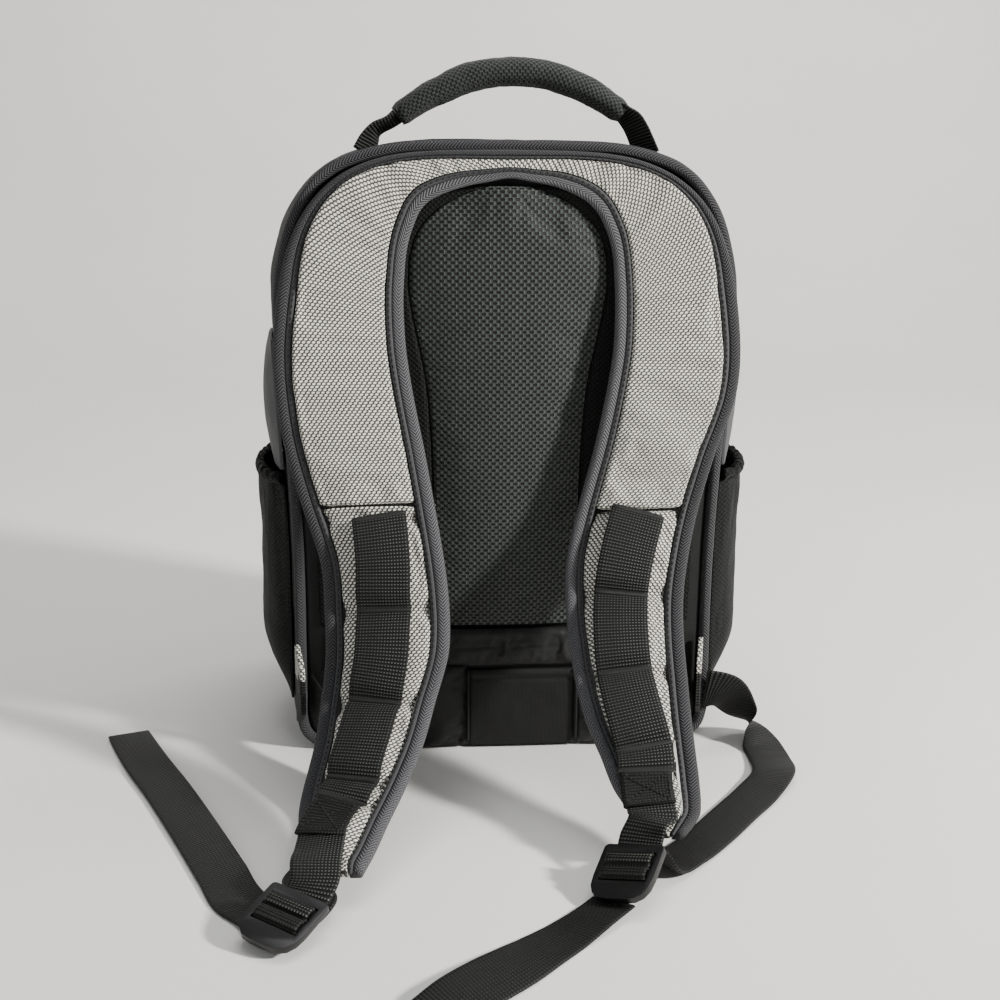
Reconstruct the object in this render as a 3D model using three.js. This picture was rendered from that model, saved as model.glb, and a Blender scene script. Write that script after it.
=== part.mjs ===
// A small camera backpack standing on its base: a padded hollow bag whose front lid closes with a zip,
// a mesh back, one continuous U-shaped padded harness with ladder locks, side pockets and a carry handle.
// Millimetres, +Z up. The wearer's side faces -Y, and the origin is the middle of the base, on the floor.
import * as THREE from 'three';

// The bag's body
const BODY_HEIGHT = 360;
const BODY_HALF_WIDTH = 132;
const BASE_DEPTH = 160;
const TOP_DEPTH = 118;
const BASE_CORNER = 20;
const WALL = 6;
const FRONT_TAPER = 0.07;
const FRONT_DROP = 0.03;
const SIDE_BULGE = 0.05;

// The gap that sewn pieces keep, and the gap of a piece that only lies on another
const GAP = 0.4;
const REST = 0.6;

// Back edge piping, back panel and the pads on it
const PIPING_WIDTH = 7;
const PIPING_DEPTH = 8.5;
const PIPING_PROUD = 2.5;
const PANEL_THICK = 6;
const PAD_EDGE = 1.6;
const CENTRE_PAD_THICK = 9;
const SIDE_PAD_THICK = 3;
const LUMBAR_TOP = 77;
const LUMBAR_BAND_HEIGHT = 23;
const LUMBAR_THICK = 5;
const CUSHION_THICK = 7;
const FLAP_LEFT = 21;
const FLAP_RIGHT = 42;
const FLAP_THICK = 2.5;

// Front lid and its zip
const ZIP_WIDTH = 9;
const ZIP_TAPE_THICK = 1.6;
const COIL_WIDTH = 4;
const COIL_HEIGHT = 1.6;
const LID_EDGE = 7;
const LID_CROWN = 9;
const SLIDER_LENGTH = 14;
const SLIDER_WIDTH = 9;
const SLIDER_HEIGHT = 4;
const PULL_LENGTH = 30;
const PULL_WIDTH = 7;
const PULL_THICK = 1.6;
const PULL_DROP = 40;

// Harness
const LEFT_REACH = 196;
const RIGHT_REACH = 172;
const HARNESS_FRONT = 5;
const HARNESS_BACK = 2.6;
const HARNESS_EDGE = 2.6;
const TURN_FALL = 0.5;
const INNER_TAPE = 10;
const OUTER_TAPE = 10;
const MOST_TAPE = 0.38;

// Webbing and its hardware
const DAISY_WIDTH = 30;
const DAISY_BULGE = 3.2;
const BAR_COUNT = 4;
// Where the bars lie, as shares of each strap's whole length from the crown.
const LEFT_BAR_SHARES = { first: 0.5415, pitch: 0.1106 };
const RIGHT_BAR_SHARES = { first: 0.5647, pitch: 0.1064 };
const PATCH_OFFSET = 15;
const PATCH_LENGTH = 23;
const PATCH_WIDTH = 27;
const PATCH_THICK = 2.6;
const WEB_WIDTH = 25;
const WEB_THICK = 1.6;
const LOCK_WIDTH = 33;
const LOCK_THICK = 3.6;
const LOCK_RIM = 5;
const LOCK_BAR = 4;
const LOCK_TAB = 11;
const LOCK_SIDE = 3;

// Wing tabs at the lower corners
const TAB_THICK = 3;
const TAB_LENGTH = 16;
const TAB_HEIGHT = 50;
const TAB_MIDDLE = 45;
const RIGHT_TAB_INSET = 5;

// Side pockets and the grey flaps above them
const POCKET_FLOOR = 30;
const POCKET_TOP = 163;
const POCKET_BACK = 10;
const POCKET_LENGTH = 108;
const POCKET_WALL = 1.5;
const LEFT_POCKET_BULGE = 17;
const RIGHT_POCKET_BULGE = 21;
const HEM_RADIUS = 2.6;
const HEM_RUFFLES = 11;
const HEM_RUFFLE_DEPTH = 1.2;
const FLAP_HEIGHT = 76;
const SIDE_FLAP_LENGTH = 66;
const SIDE_FLAP_THICK = 2;
const SIDE_FLAP_BULGE = 7;

// Carry handle
const HANDLE_SPAN = 126;
const HANDLE_RISE = 23;
const HANDLE_HEIGHT = 16;
const HANDLE_DEPTH = 22;
const HANDLE_ABOVE_TOP = 13.5;
const HANDLE_BACK = 20;
const HANDLE_FOOT = 75;

const BACK_Y = -BASE_DEPTH / 2;
const STEM = 0.001;

// Half outline of the back from above the base corner to the crown, in shares of half width and height.
// steps is how many straight runs lead up to the row.
const OUTLINE = [
  { half: 0.947, up: 0.1, steps: 1 },
  { half: 0.947, up: 0.36, steps: 1 },
  { half: 0.972, up: 0.56, steps: 1 },
  { half: 1, up: 0.755, steps: 1 },
  { half: 0.992, up: 0.794, steps: 1 },
  { half: 0.947, up: 0.864, steps: 2 },
  { half: 0.871, up: 0.92, steps: 2 },
  { half: 0.742, up: 0.966, steps: 2 },
  { half: 0.508, up: 0.994, steps: 2 },
  { half: 0.25, up: 1, steps: 1 },
  { half: 0, up: 1, steps: 1 },
];

// Harness sections from the crown of the arch to a strap's tip. inner and outer are shares of half width,
// innerUp and outerUp shares of body height, away the stand-off from the back in shares of the reach,
// roll turns the outer edge back and down (degrees), tape is the outer binding's share of its full width.
const LEFT_SECTIONS = [
  { inner: 0, innerUp: 0.942, outer: 0, outerUp: 0.985, away: 0.027, roll: 0, tape: 0.5 },
  { inner: 0.2, innerUp: 0.928, outer: 0.31, outerUp: 0.983, away: 0.027, roll: 0, tape: 0.5 },
  { inner: 0.345, innerUp: 0.905, outer: 0.52, outerUp: 0.974, away: 0.027, roll: 0, tape: 0.5 },
  { inner: 0.4, innerUp: 0.872, outer: 0.69, outerUp: 0.95, away: 0.028, roll: 0, tape: 0.5 },
  { inner: 0.43, innerUp: 0.835, outer: 0.82, outerUp: 0.91, away: 0.031, roll: 0, tape: 0.6 },
  { inner: 0.442, innerUp: 0.795, outer: 0.91, outerUp: 0.855, away: 0.038, roll: 0, tape: 0.75 },
  { inner: 0.447, innerUp: 0.75, outer: 0.965, outerUp: 0.785, away: 0.053, roll: 0, tape: 1 },
  { inner: 0.438, innerUp: 0.684, outer: 0.995, outerUp: 0.684, away: 0.079, roll: 0, tape: 1 },
  { inner: 0.408, innerUp: 0.609, outer: 0.985, outerUp: 0.609, away: 0.11, roll: 2, tape: 1 },
  { inner: 0.368, innerUp: 0.534, outer: 0.949, outerUp: 0.534, away: 0.15, roll: 4, tape: 1 },
  { inner: 0.328, innerUp: 0.451, outer: 0.879, outerUp: 0.451, away: 0.204, roll: 6, tape: 1 },
  { inner: 0.293, innerUp: 0.374, outer: 0.807, outerUp: 0.374, away: 0.258, roll: 8, tape: 1 },
  { inner: 0.274, innerUp: 0.307, outer: 0.792, outerUp: 0.307, away: 0.306, roll: 10, tape: 1 },
  { inner: 0.28, innerUp: 0.242, outer: 0.788, outerUp: 0.242, away: 0.368, roll: 12, tape: 1 },
  { inner: 0.336, innerUp: 0.18, outer: 0.808, outerUp: 0.18, away: 0.429, roll: 14, tape: 1 },
  { inner: 0.392, innerUp: 0.133, outer: 0.832, outerUp: 0.133, away: 0.531, roll: 16, tape: 1 },
  { inner: 0.466, innerUp: 0.094, outer: 0.87, outerUp: 0.094, away: 0.643, roll: 18, tape: 1 },
  { inner: 0.532, innerUp: 0.07, outer: 0.882, outerUp: 0.07, away: 0.747, roll: 18, tape: 1 },
  { inner: 0.585, innerUp: 0.053, outer: 0.84, outerUp: 0.053, away: 0.851, roll: 16, tape: 0.9 },
  { inner: 0.63, innerUp: 0.042, outer: 0.765, outerUp: 0.042, away: 0.925, roll: 12, tape: 0.8 },
];
const RIGHT_SECTIONS = [
  { inner: 0, innerUp: 0.942, outer: 0, outerUp: 0.985, away: 0.031, roll: 0, tape: 0.5 },
  { inner: 0.19, innerUp: 0.93, outer: 0.3, outerUp: 0.983, away: 0.031, roll: 0, tape: 0.5 },
  { inner: 0.335, innerUp: 0.905, outer: 0.51, outerUp: 0.974, away: 0.031, roll: 0, tape: 0.5 },
  { inner: 0.4, innerUp: 0.872, outer: 0.685, outerUp: 0.95, away: 0.032, roll: 0, tape: 0.5 },
  { inner: 0.435, innerUp: 0.835, outer: 0.82, outerUp: 0.91, away: 0.036, roll: 0, tape: 0.6 },
  { inner: 0.447, innerUp: 0.795, outer: 0.91, outerUp: 0.855, away: 0.044, roll: 0, tape: 0.75 },
  { inner: 0.451, innerUp: 0.75, outer: 0.965, outerUp: 0.785, away: 0.06, roll: 0, tape: 1 },
  { inner: 0.443, innerUp: 0.681, outer: 0.995, outerUp: 0.681, away: 0.085, roll: 0, tape: 1 },
  { inner: 0.408, innerUp: 0.604, outer: 0.974, outerUp: 0.604, away: 0.107, roll: 0, tape: 1 },
  { inner: 0.36, innerUp: 0.526, outer: 0.895, outerUp: 0.526, away: 0.133, roll: -2, tape: 1 },
  { inner: 0.289, innerUp: 0.432, outer: 0.815, outerUp: 0.432, away: 0.165, roll: -3, tape: 1 },
  { inner: 0.237, innerUp: 0.36, outer: 0.759, outerUp: 0.36, away: 0.233, roll: -4, tape: 1 },
  { inner: 0.228, innerUp: 0.303, outer: 0.728, outerUp: 0.303, away: 0.291, roll: -6, tape: 1 },
  { inner: 0.233, innerUp: 0.253, outer: 0.71, outerUp: 0.253, away: 0.384, roll: -8, tape: 1 },
  { inner: 0.247, innerUp: 0.205, outer: 0.702, outerUp: 0.205, away: 0.488, roll: -10, tape: 1 },
  { inner: 0.273, innerUp: 0.164, outer: 0.694, outerUp: 0.164, away: 0.599, roll: -10, tape: 1 },
  { inner: 0.321, innerUp: 0.124, outer: 0.69, outerUp: 0.124, away: 0.709, roll: -10, tape: 1 },
  { inner: 0.353, innerUp: 0.096, outer: 0.688, outerUp: 0.096, away: 0.78, roll: -10, tape: 1 },
  { inner: 0.409, innerUp: 0.074, outer: 0.665, outerUp: 0.074, away: 0.884, roll: -8, tape: 0.9 },
  { inner: 0.455, innerUp: 0.06, outer: 0.59, outerUp: 0.06, away: 0.955, roll: -6, tape: 0.8 },
];

// How far across the pad the ladder webbing lies at each bar and at the two ends of its stitched patch.
const LEFT_WEB_ACROSS = [0.43, 0.5, 0.49, 0.48, 0.54, 0.74];
const RIGHT_WEB_ACROSS = [0.5, 0.47, 0.45, 0.47, 0.42, 0.28];

// Ladder locks: the middle of the top edge, and the way the lock points.
const LEFT_LOCK = { across: -0.845, out: 1.025, up: 0.044, heading: 35.8, pitch: 17, roll: -5.6 };
const RIGHT_LOCK = { across: 0.394, out: 1.012, up: 0.06, heading: 28, pitch: 25, roll: 15 };

// Routes of the loose webbing, from above. across is a share of half width, out a share of the reach,
// lift the height above the floor in webbing thicknesses, lean the turn of its width off the floor (degrees).
const LEFT_ADJUST_ROUTE = [
  { across: -0.82, out: 0.12, lift: 23, lean: 85 },
  { across: -0.73, out: 0.3, lift: 13, lean: 60 },
  { across: -0.68, out: 0.5, lift: 6, lean: 25 },
  { across: -0.74, out: 0.72, lift: 4, lean: 8 },
  { across: -0.84, out: 0.86, lift: 3.5, lean: 0 },
];
const RIGHT_ADJUST_ROUTE = [
  { across: 1.0, out: 0.045, lift: 22.5, lean: 76 },
  { across: 1.1, out: 0, lift: 13, lean: 50 },
  { across: 1.175, out: 0.005, lift: 4.5, lean: 20 },
  { across: 1.19, out: 0.09, lift: 1, lean: 0 },
  { across: 1.19, out: 0.17, lift: 1, lean: 0 },
  { across: 1.16, out: 0.32, lift: 2.6, lean: -6 },
  { across: 1.053, out: 0.445, lift: 1.4, lean: 0 },
  { across: 0.9, out: 0.595, lift: 1, lean: 0 },
  { across: 0.757, out: 0.738, lift: 1, lean: 0 },
  { across: 0.625, out: 0.855, lift: 1.2, lean: 0 },
  { across: 0.52, out: 0.935, lift: 3, lean: 4 },
];
const LEFT_TAIL_ROUTE = [
  { across: -0.945, out: 1.075, lift: 3, lean: 0 },
  { across: -1.0, out: 0.995, lift: 1.6, lean: 4 },
  { across: -1.08, out: 0.93, lift: 1.8, lean: 9 },
  { across: -1.167, out: 0.79, lift: 2.2, lean: 10 },
  { across: -1.258, out: 0.638, lift: 2.2, lean: 10 },
  { across: -1.364, out: 0.464, lift: 2.2, lean: 9 },
  { across: -1.477, out: 0.286, lift: 2.2, lean: 9 },
  { across: -1.6, out: 0.105, lift: 2.2, lean: 8 },
  { across: -1.68, out: -0.03, lift: 1.6, lean: 5 },
  { across: -1.74, out: -0.14, lift: 1, lean: 0 },
];
const RIGHT_TAIL_ROUTE = [
  { across: 0.29, out: 1.125, lift: 1.8, lean: -8 },
  { across: 0.2, out: 1.2, lift: 1.5, lean: -7 },
  { across: 0.091, out: 1.279, lift: 0.6, lean: 0 },
  { across: -0.015, out: 1.366, lift: 1.5, lean: 7 },
  { across: -0.114, out: 1.45, lift: 2.7, lean: 16 },
  { across: -0.212, out: 1.52, lift: 3.3, lean: 20 },
  { across: -0.318, out: 1.593, lift: 3.3, lean: 19 },
  { across: -0.424, out: 1.668, lift: 2, lean: 10 },
  { across: -0.51, out: 1.73, lift: 0.8, lean: 0 },
];

// Half width of the centre pad by height, as shares of half width and body height.
const CENTRE_PAD_ROWS = [
  { up: 0.222, half: 0.32 },
  { up: 0.36, half: 0.318 },
  { up: 0.49, half: 0.32 },
  { up: 0.614, half: 0.341 },
  { up: 0.689, half: 0.379 },
  { up: 0.77, half: 0.42 },
  { up: 0.84, half: 0.405 },
  { up: 0.885, half: 0.33 },
  { up: 0.915, half: 0.2 },
  { up: 0.93, half: 0.08 },
];
// Outer edge of each side pad, in the same shares.
const SIDE_PAD_ROWS = [
  { up: 0.222, outer: 0.83 },
  { up: 0.36, outer: 0.84 },
  { up: 0.49, outer: 0.84 },
  { up: 0.614, outer: 0.84 },
  { up: 0.689, outer: 0.83 },
  { up: 0.77, outer: 0.8 },
  { up: 0.84, outer: 0.72 },
  { up: 0.885, outer: 0.6 },
  { up: 0.915, outer: 0.48 },
  { up: 0.93, outer: 0.38 },
];

const point = (x, y, z) => new THREE.Vector3(x, y, z);
const degrees = (angle) => (angle * Math.PI) / 180;
const mix = THREE.MathUtils.lerp;
const ease = (share) => THREE.MathUtils.smoothstep(share, 0, 1);
const range = (count) => Array.from({ length: count }, (_, index) => index);

// Reads a column of a table as a smooth curve over the rows, for a place between 0 and the last row.
function columnAt(rows, column, place) {
  const last = rows.length - 1;
  const row = Math.min(Math.floor(place), last - 1);
  const value = (index) => rows[THREE.MathUtils.clamp(index, 0, last)][column];
  const [before, start, end, after] = [value(row - 1), value(row), value(row + 1), value(row + 2)];
  const share = place - row;
  const slopeIn = (end - before) / 2;
  const slopeOut = (after - start) / 2;
  const square = share * share;
  const cube = square * share;
  return (
    (2 * cube - 3 * square + 1) * start +
    (cube - 2 * square + share) * slopeIn +
    (3 * square - 2 * cube) * end +
    (cube - square) * slopeOut
  );
}

// Makes a closed body of points and triangles, turned so that its faces point out.
function body(points, faces) {
  let volume = 0;
  for (const [a, b, c] of faces) {
    volume += points[a].dot(new THREE.Vector3().crossVectors(points[b], points[c]));
  }
  const outward = volume < 0 ? faces.map(([a, b, c]) => [a, c, b]) : faces;
  const geometry = new THREE.BufferGeometry();
  geometry.setAttribute('position', new THREE.Float32BufferAttribute(points.flatMap((p) => p.toArray()), 3));
  geometry.setIndex(outward.flat());
  geometry.computeVertexNormals();
  return geometry;
}

// Joins sections, each a ring of points, into one body. A loop joins the last to the first; otherwise both
// ends are capped from their middles.
function loft(sections, loop = false) {
  const sides = sections[0].length;
  const points = sections.flat();
  const faces = [];
  const spans = loop ? sections.length : sections.length - 1;
  for (const row of range(spans)) {
    const next = (row + 1) % sections.length;
    for (const side of range(sides)) {
      const beside = (side + 1) % sides;
      const corners = [row * sides + side, row * sides + beside, next * sides + beside, next * sides + side];
      faces.push([corners[0], corners[1], corners[2]], [corners[0], corners[2], corners[3]]);
    }
  }
  if (!loop) {
    for (const end of [0, sections.length - 1]) {
      const middle = new THREE.Vector3();
      sections[end].forEach((corner) => middle.addScaledVector(corner, 1 / sides));
      const hub = points.push(middle) - 1;
      for (const side of range(sides)) {
        const beside = end * sides + ((side + 1) % sides);
        const here = end * sides + side;
        faces.push(end === 0 ? [hub, beside, here] : [hub, here, beside]);
      }
    }
  }
  return body(points, faces);
}

// A thin sheet between two grids of points of the same size.
function sheet(front, back) {
  const rows = front.length;
  const columns = front[0].length;
  const points = [...front.flat(), ...back.flat()];
  const at = (layer, row, column) => layer * rows * columns + row * columns + column;
  const faces = [];
  const quad = (a, b, c, d) => faces.push([a, b, c], [a, c, d]);
  for (const row of range(rows - 1)) {
    for (const column of range(columns - 1)) {
      quad(at(0, row, column), at(0, row, column + 1), at(0, row + 1, column + 1), at(0, row + 1, column));
      quad(at(1, row, column), at(1, row + 1, column), at(1, row + 1, column + 1), at(1, row, column + 1));
    }
    quad(at(0, row, 0), at(0, row + 1, 0), at(1, row + 1, 0), at(1, row, 0));
    const far = columns - 1;
    quad(at(0, row, far), at(1, row, far), at(1, row + 1, far), at(0, row + 1, far));
  }
  for (const column of range(columns - 1)) {
    const last = rows - 1;
    quad(at(0, 0, column), at(1, 0, column), at(1, 0, column + 1), at(0, 0, column + 1));
    quad(at(0, last, column), at(0, last, column + 1), at(1, last, column + 1), at(1, last, column));
  }
  return body(points, faces);
}

// A flat band through frames, each a place with the unit vectors of its width and its face.
function ribbon(frames, width, thickness) {
  const corners = [[-1, -1], [1, -1], [1, 1], [-1, 1]];
  return loft(frames.map(({ place, side, face }) => corners.map(([across, up]) => place.clone()
    .addScaledVector(side, (across * width) / 2)
    .addScaledVector(face, (up * thickness) / 2))));
}

// Material finishes
function finish(color, roughness, metalness = 0) {
  return new THREE.MeshStandardMaterial({ color, roughness, metalness });
}
const FINISHES = {
  silver_cloth: finish(0x8f8c84, 0.7),
  grey_binding: finish(0x3a3a3e, 0.85),
  black_mesh: finish(0x14181a, 0.9),
  black_nylon: finish(0x15171a, 0.55),
  grey_nylon: finish(0x44474a, 0.6),
  black_webbing: finish(0x20221f, 0.8),
  black_plastic: finish(0x17191a, 0.4),
  dark_metal: finish(0x2c2d2f, 0.4, 0.6),
};

const bag = new THREE.Group();
function add(name, geometry, slot) {
  const mesh = new THREE.Mesh(geometry, FINISHES[slot]);
  mesh.name = name;
  bag.add(mesh);
  return mesh;
}

// The bag's outline seen from the back, as points from the middle of the base round the right side.
const CORNER_STEPS = 3;
const baseHalf = OUTLINE[0].half * BODY_HALF_WIDTH;
function backOutline() {
  const right = [new THREE.Vector2(0, 0), new THREE.Vector2(baseHalf / 2, 0)];
  for (const step of range(CORNER_STEPS + 1)) {
    const turn = degrees((90 * step) / CORNER_STEPS);
    const x = baseHalf - BASE_CORNER + BASE_CORNER * Math.sin(turn);
    right.push(new THREE.Vector2(x, BASE_CORNER - BASE_CORNER * Math.cos(turn)));
  }
  const knots = OUTLINE.map((row) => new THREE.Vector2(row.half * BODY_HALF_WIDTH, row.up * BODY_HEIGHT));
  const side = new THREE.SplineCurve([right[right.length - 1], ...knots]);
  OUTLINE.forEach((row, index) => {
    for (const step of range(row.steps)) {
      right.push(side.getPoint((index + (step + 1) / row.steps) / OUTLINE.length));
    }
  });
  const left = right.slice(1, -1).reverse().map((p) => new THREE.Vector2(-p.x, p.y));
  return [...right, ...left];
}
const OUTLINE_RING = backOutline();
const CROWN_INDEX = OUTLINE_RING.length / 2;

// The outline moved inwards by a distance, corner by corner.
function insetOutline(inset) {
  const count = OUTLINE_RING.length;
  return OUTLINE_RING.map((corner, index) => {
    const before = OUTLINE_RING[(index + count - 1) % count];
    const after = OUTLINE_RING[(index + 1) % count];
    const arriving = corner.clone().sub(before).normalize();
    const leaving = after.clone().sub(corner).normalize();
    const inward = new THREE.Vector2(-arriving.y - leaving.y, arriving.x + leaving.x).normalize();
    const spread = inward.dot(new THREE.Vector2(-arriving.y, arriving.x));
    return corner.clone().addScaledVector(inward, inset / spread);
  });
}

function depthAt(height) {
  return BASE_DEPTH - (BASE_DEPTH - TOP_DEPTH) * (height / BODY_HEIGHT) ** 1.6;
}
function sideScale(share) {
  return 1 - FRONT_TAPER * share * share + SIDE_BULGE * Math.sin(Math.PI * Math.min(share, 1));
}
// A point of the outline carried from the back (share 0) to the front rim (share 1), then forward by a length.
function bodyPoint(corner, share, forward = 0) {
  const drop = 1 - FRONT_DROP * share * share;
  return point(corner.x * sideScale(share), BACK_Y + share * depthAt(corner.y) + forward, corner.y * drop);
}
// Half width of the back outline at a height.
function outlineHalf(height) {
  const right = OUTLINE_RING.slice(0, CROWN_INDEX + 1);
  for (let index = 1; index < right.length; index += 1) {
    if (right[index].y >= height && right[index].y > right[index - 1].y) {
      const share = (height - right[index - 1].y) / (right[index].y - right[index - 1].y);
      return mix(right[index - 1].x, right[index].x, Math.max(share, 0));
    }
  }
  return 0;
}
// Outside of the bag's side at a height and a distance from the back.
function sideSurface(height, distance) {
  return outlineHalf(height) * sideScale(distance / depthAt(height));
}

const gussetStart = PIPING_DEPTH - PIPING_PROUD + GAP;
const GUSSET_SHARES = [0.2, 0.42, 0.64, 0.84, 1];

function sideGusset() {
  const outer = insetOutline(0);
  const inner = insetOutline(WALL);
  const sections = OUTLINE_RING.map((_, index) => {
    const wall = (ring) => [
      point(ring[index].x, BACK_Y + gussetStart, ring[index].y),
      ...GUSSET_SHARES.map((share) => bodyPoint(ring[index], share)),
    ];
    return [...wall(outer), ...wall(inner).reverse()];
  });
  add('side_gusset', loft(sections, true), 'black_nylon');
}

function edgePiping() {
  const profile = [
    { inset: GAP, back: 0.45 },
    { inset: 0.15 * PIPING_WIDTH, back: 0.12 },
    { inset: 0.5 * PIPING_WIDTH, back: 0 },
    { inset: 0.85 * PIPING_WIDTH, back: 0.12 },
    { inset: PIPING_WIDTH, back: 0.45 },
    { inset: PIPING_WIDTH, back: 1 },
    { inset: GAP, back: 1 },
  ];
  const rings = profile.map((row) => insetOutline(row.inset));
  const front = BACK_Y - PIPING_PROUD + PIPING_DEPTH;
  const sections = OUTLINE_RING.map((outer, index) => profile.map((row, edge) => {
    const corner = rings[edge][index];
    const proud = PIPING_PROUD * ease(outer.y / BASE_CORNER);
    return point(corner.x, mix(BACK_Y - proud, front, row.back), corner.y);
  }));
  add('edge_piping', loft(sections, true), 'grey_binding');
}

function backPanel() {
  const ring = insetOutline(PIPING_WIDTH + GAP);
  const layer = (y) => ring.map((corner) => point(corner.x, y, corner.y));
  add('back_panel', loft([layer(BACK_Y), layer(BACK_Y + PANEL_THICK)]), 'black_nylon');
}

// A strip of the rim in front of the gusset, between two places round the outline.
function rimStrip(indices, profile, loop) {
  const rings = profile.map((row) => insetOutline(row.inset));
  return loft(indices.map((index) => profile.map((row, edge) => bodyPoint(rings[edge][index], 1, row.forward))), loop);
}

const HINGE_REACH = CORNER_STEPS + 1;
const zipOuter = 1.2;
const zipFace = zipOuter + ZIP_TAPE_THICK;
function zip() {
  const count = OUTLINE_RING.length;
  const zipped = range(count - 2 * HINGE_REACH + 1).map((step) => HINGE_REACH + step);
  const hinge = range(2 * HINGE_REACH - 1).map((step) => (count - HINGE_REACH + 1 + step) % count);
  const tape = [
    { inset: zipOuter, forward: GAP },
    { inset: zipOuter, forward: ZIP_WIDTH - GAP },
    { inset: zipFace, forward: ZIP_WIDTH - GAP },
    { inset: zipFace, forward: GAP },
  ];
  const middle = ZIP_WIDTH / 2;
  const coil = [
    { inset: zipOuter - GAP, forward: middle - COIL_WIDTH / 2 },
    { inset: zipOuter - GAP - COIL_HEIGHT, forward: middle },
    { inset: zipOuter - GAP, forward: middle + COIL_WIDTH / 2 },
  ];
  const fold = [
    { inset: GAP, forward: GAP },
    { inset: GAP, forward: ZIP_WIDTH - GAP },
    { inset: zipFace, forward: ZIP_WIDTH - GAP },
    { inset: zipFace, forward: GAP },
  ];
  add('zip_tape', rimStrip(zipped, tape, false), 'black_nylon');
  add('zip_coil', rimStrip(zipped, coil, false), 'black_plastic');
  add('lid_hinge', rimStrip(hinge, fold, false), 'black_nylon');
}

// A padded shell, open towards the bag: its lining from the middle out to the rim, then its face back in.
function frontLid() {
  const face = ZIP_WIDTH + LID_EDGE;
  const rings = [
    { scale: 0.45, forward: face + LID_CROWN - WALL },
    { scale: 0.9, forward: face + 0.35 * LID_CROWN - WALL },
    { scale: 0.94, forward: ZIP_WIDTH },
    { scale: 1, forward: ZIP_WIDTH },
    { scale: 1, forward: ZIP_WIDTH + 0.6 * LID_EDGE },
    { scale: 0.985, forward: face },
    { scale: 0.93, forward: face + 0.35 * LID_CROWN },
    { scale: 0.78, forward: face + 0.75 * LID_CROWN },
    { scale: 0.45, forward: face + LID_CROWN },
  ];
  const waist = BODY_HEIGHT * 0.47;
  const sections = rings.map((row) => OUTLINE_RING.map((corner) => {
    const height = Math.max(waist + (corner.y - waist) * row.scale, 0);
    return bodyPoint(new THREE.Vector2(corner.x * row.scale, height), 1, row.forward);
  }));
  add('front_lid', loft(sections), 'black_nylon');
}

// Two sliders meet at the crown of the zip, each with a flat pull that hangs over the lid.
function zipSliders() {
  const crown = bodyPoint(new THREE.Vector2(0, BODY_HEIGHT), 1, ZIP_WIDTH / 2);
  const top = crown.z - zipOuter + GAP + COIL_HEIGHT + GAP + GAP;
  for (const [name, side] of [['left', -1], ['right', 1]]) {
    const slider = new THREE.BoxGeometry(SLIDER_LENGTH, SLIDER_WIDTH, SLIDER_HEIGHT);
    const x = side * (SLIDER_LENGTH / 2 + GAP);
    add(`zip_slider_${name}`, slider, 'dark_metal').position.set(x, crown.y, top + SLIDER_HEIGHT / 2);
    const shape = new THREE.Shape();
    shape.absarc(0, -PULL_LENGTH + PULL_WIDTH / 2, PULL_WIDTH / 2, Math.PI, 2 * Math.PI, false);
    shape.lineTo(PULL_WIDTH / 2, 0);
    shape.lineTo(-PULL_WIDTH / 2, 0);
    const pull = new THREE.ExtrudeGeometry(shape, { depth: PULL_THICK, bevelEnabled: false, curveSegments: 5 });
    const mesh = add(`zip_pull_${name}`, pull, 'black_plastic');
    mesh.position.set(x, crown.y + SLIDER_WIDTH / 2 + GAP + PULL_THICK, top + SLIDER_HEIGHT * 0.8);
    mesh.rotation.set(degrees(180 - PULL_DROP), 0, 0);
  }
}

// A crowned pad on the back panel, between a left and a right edge given for each height.
function backPad(name, rows, [steps, across], thickness, slot) {
  const front = [];
  const back = [];
  for (const step of range(steps + 1)) {
    const place = (step / steps) * (rows.length - 1);
    const height = columnAt(rows, 'height', place);
    const from = columnAt(rows, 'from', place);
    const to = columnAt(rows, 'to', place);
    const rise = Math.sin(Math.PI * mix(0.02, 0.98, step / steps)) ** 0.4 * columnAt(rows, 'full', place);
    const line = range(across + 1).map((column) => {
      const share = column / across;
      const crown = Math.sin(Math.PI * share) ** 0.7 * rise;
      return point(mix(from, to, share), BACK_Y - GAP - PAD_EDGE - (thickness - PAD_EDGE) * crown, height);
    });
    front.push(line);
    back.push(line.map((p) => point(p.x, BACK_Y - GAP, p.z)));
  }
  add(name, sheet(front, back), slot);
}

function backPads() {
  const seam = 1.2;
  const centre = CENTRE_PAD_ROWS.map((row) => ({
    height: row.up * BODY_HEIGHT,
    from: -row.half * BODY_HALF_WIDTH,
    to: row.half * BODY_HALF_WIDTH,
    full: 1,
  }));
  backPad('back_pad_centre', centre, [16, 6], CENTRE_PAD_THICK, 'black_mesh');
  for (const [name, side] of [['left', -1], ['right', 1]]) {
    const rows = SIDE_PAD_ROWS.map((row, index) => ({
      height: row.up * BODY_HEIGHT,
      from: side * (CENTRE_PAD_ROWS[index].half * BODY_HALF_WIDTH + seam),
      to: side * row.outer * BODY_HALF_WIDTH,
      full: index < 4 ? 1 : 0.2,
    }));
    backPad(`back_pad_${name}`, rows, [16, 2], SIDE_PAD_THICK, 'black_mesh');
  }
}

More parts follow.
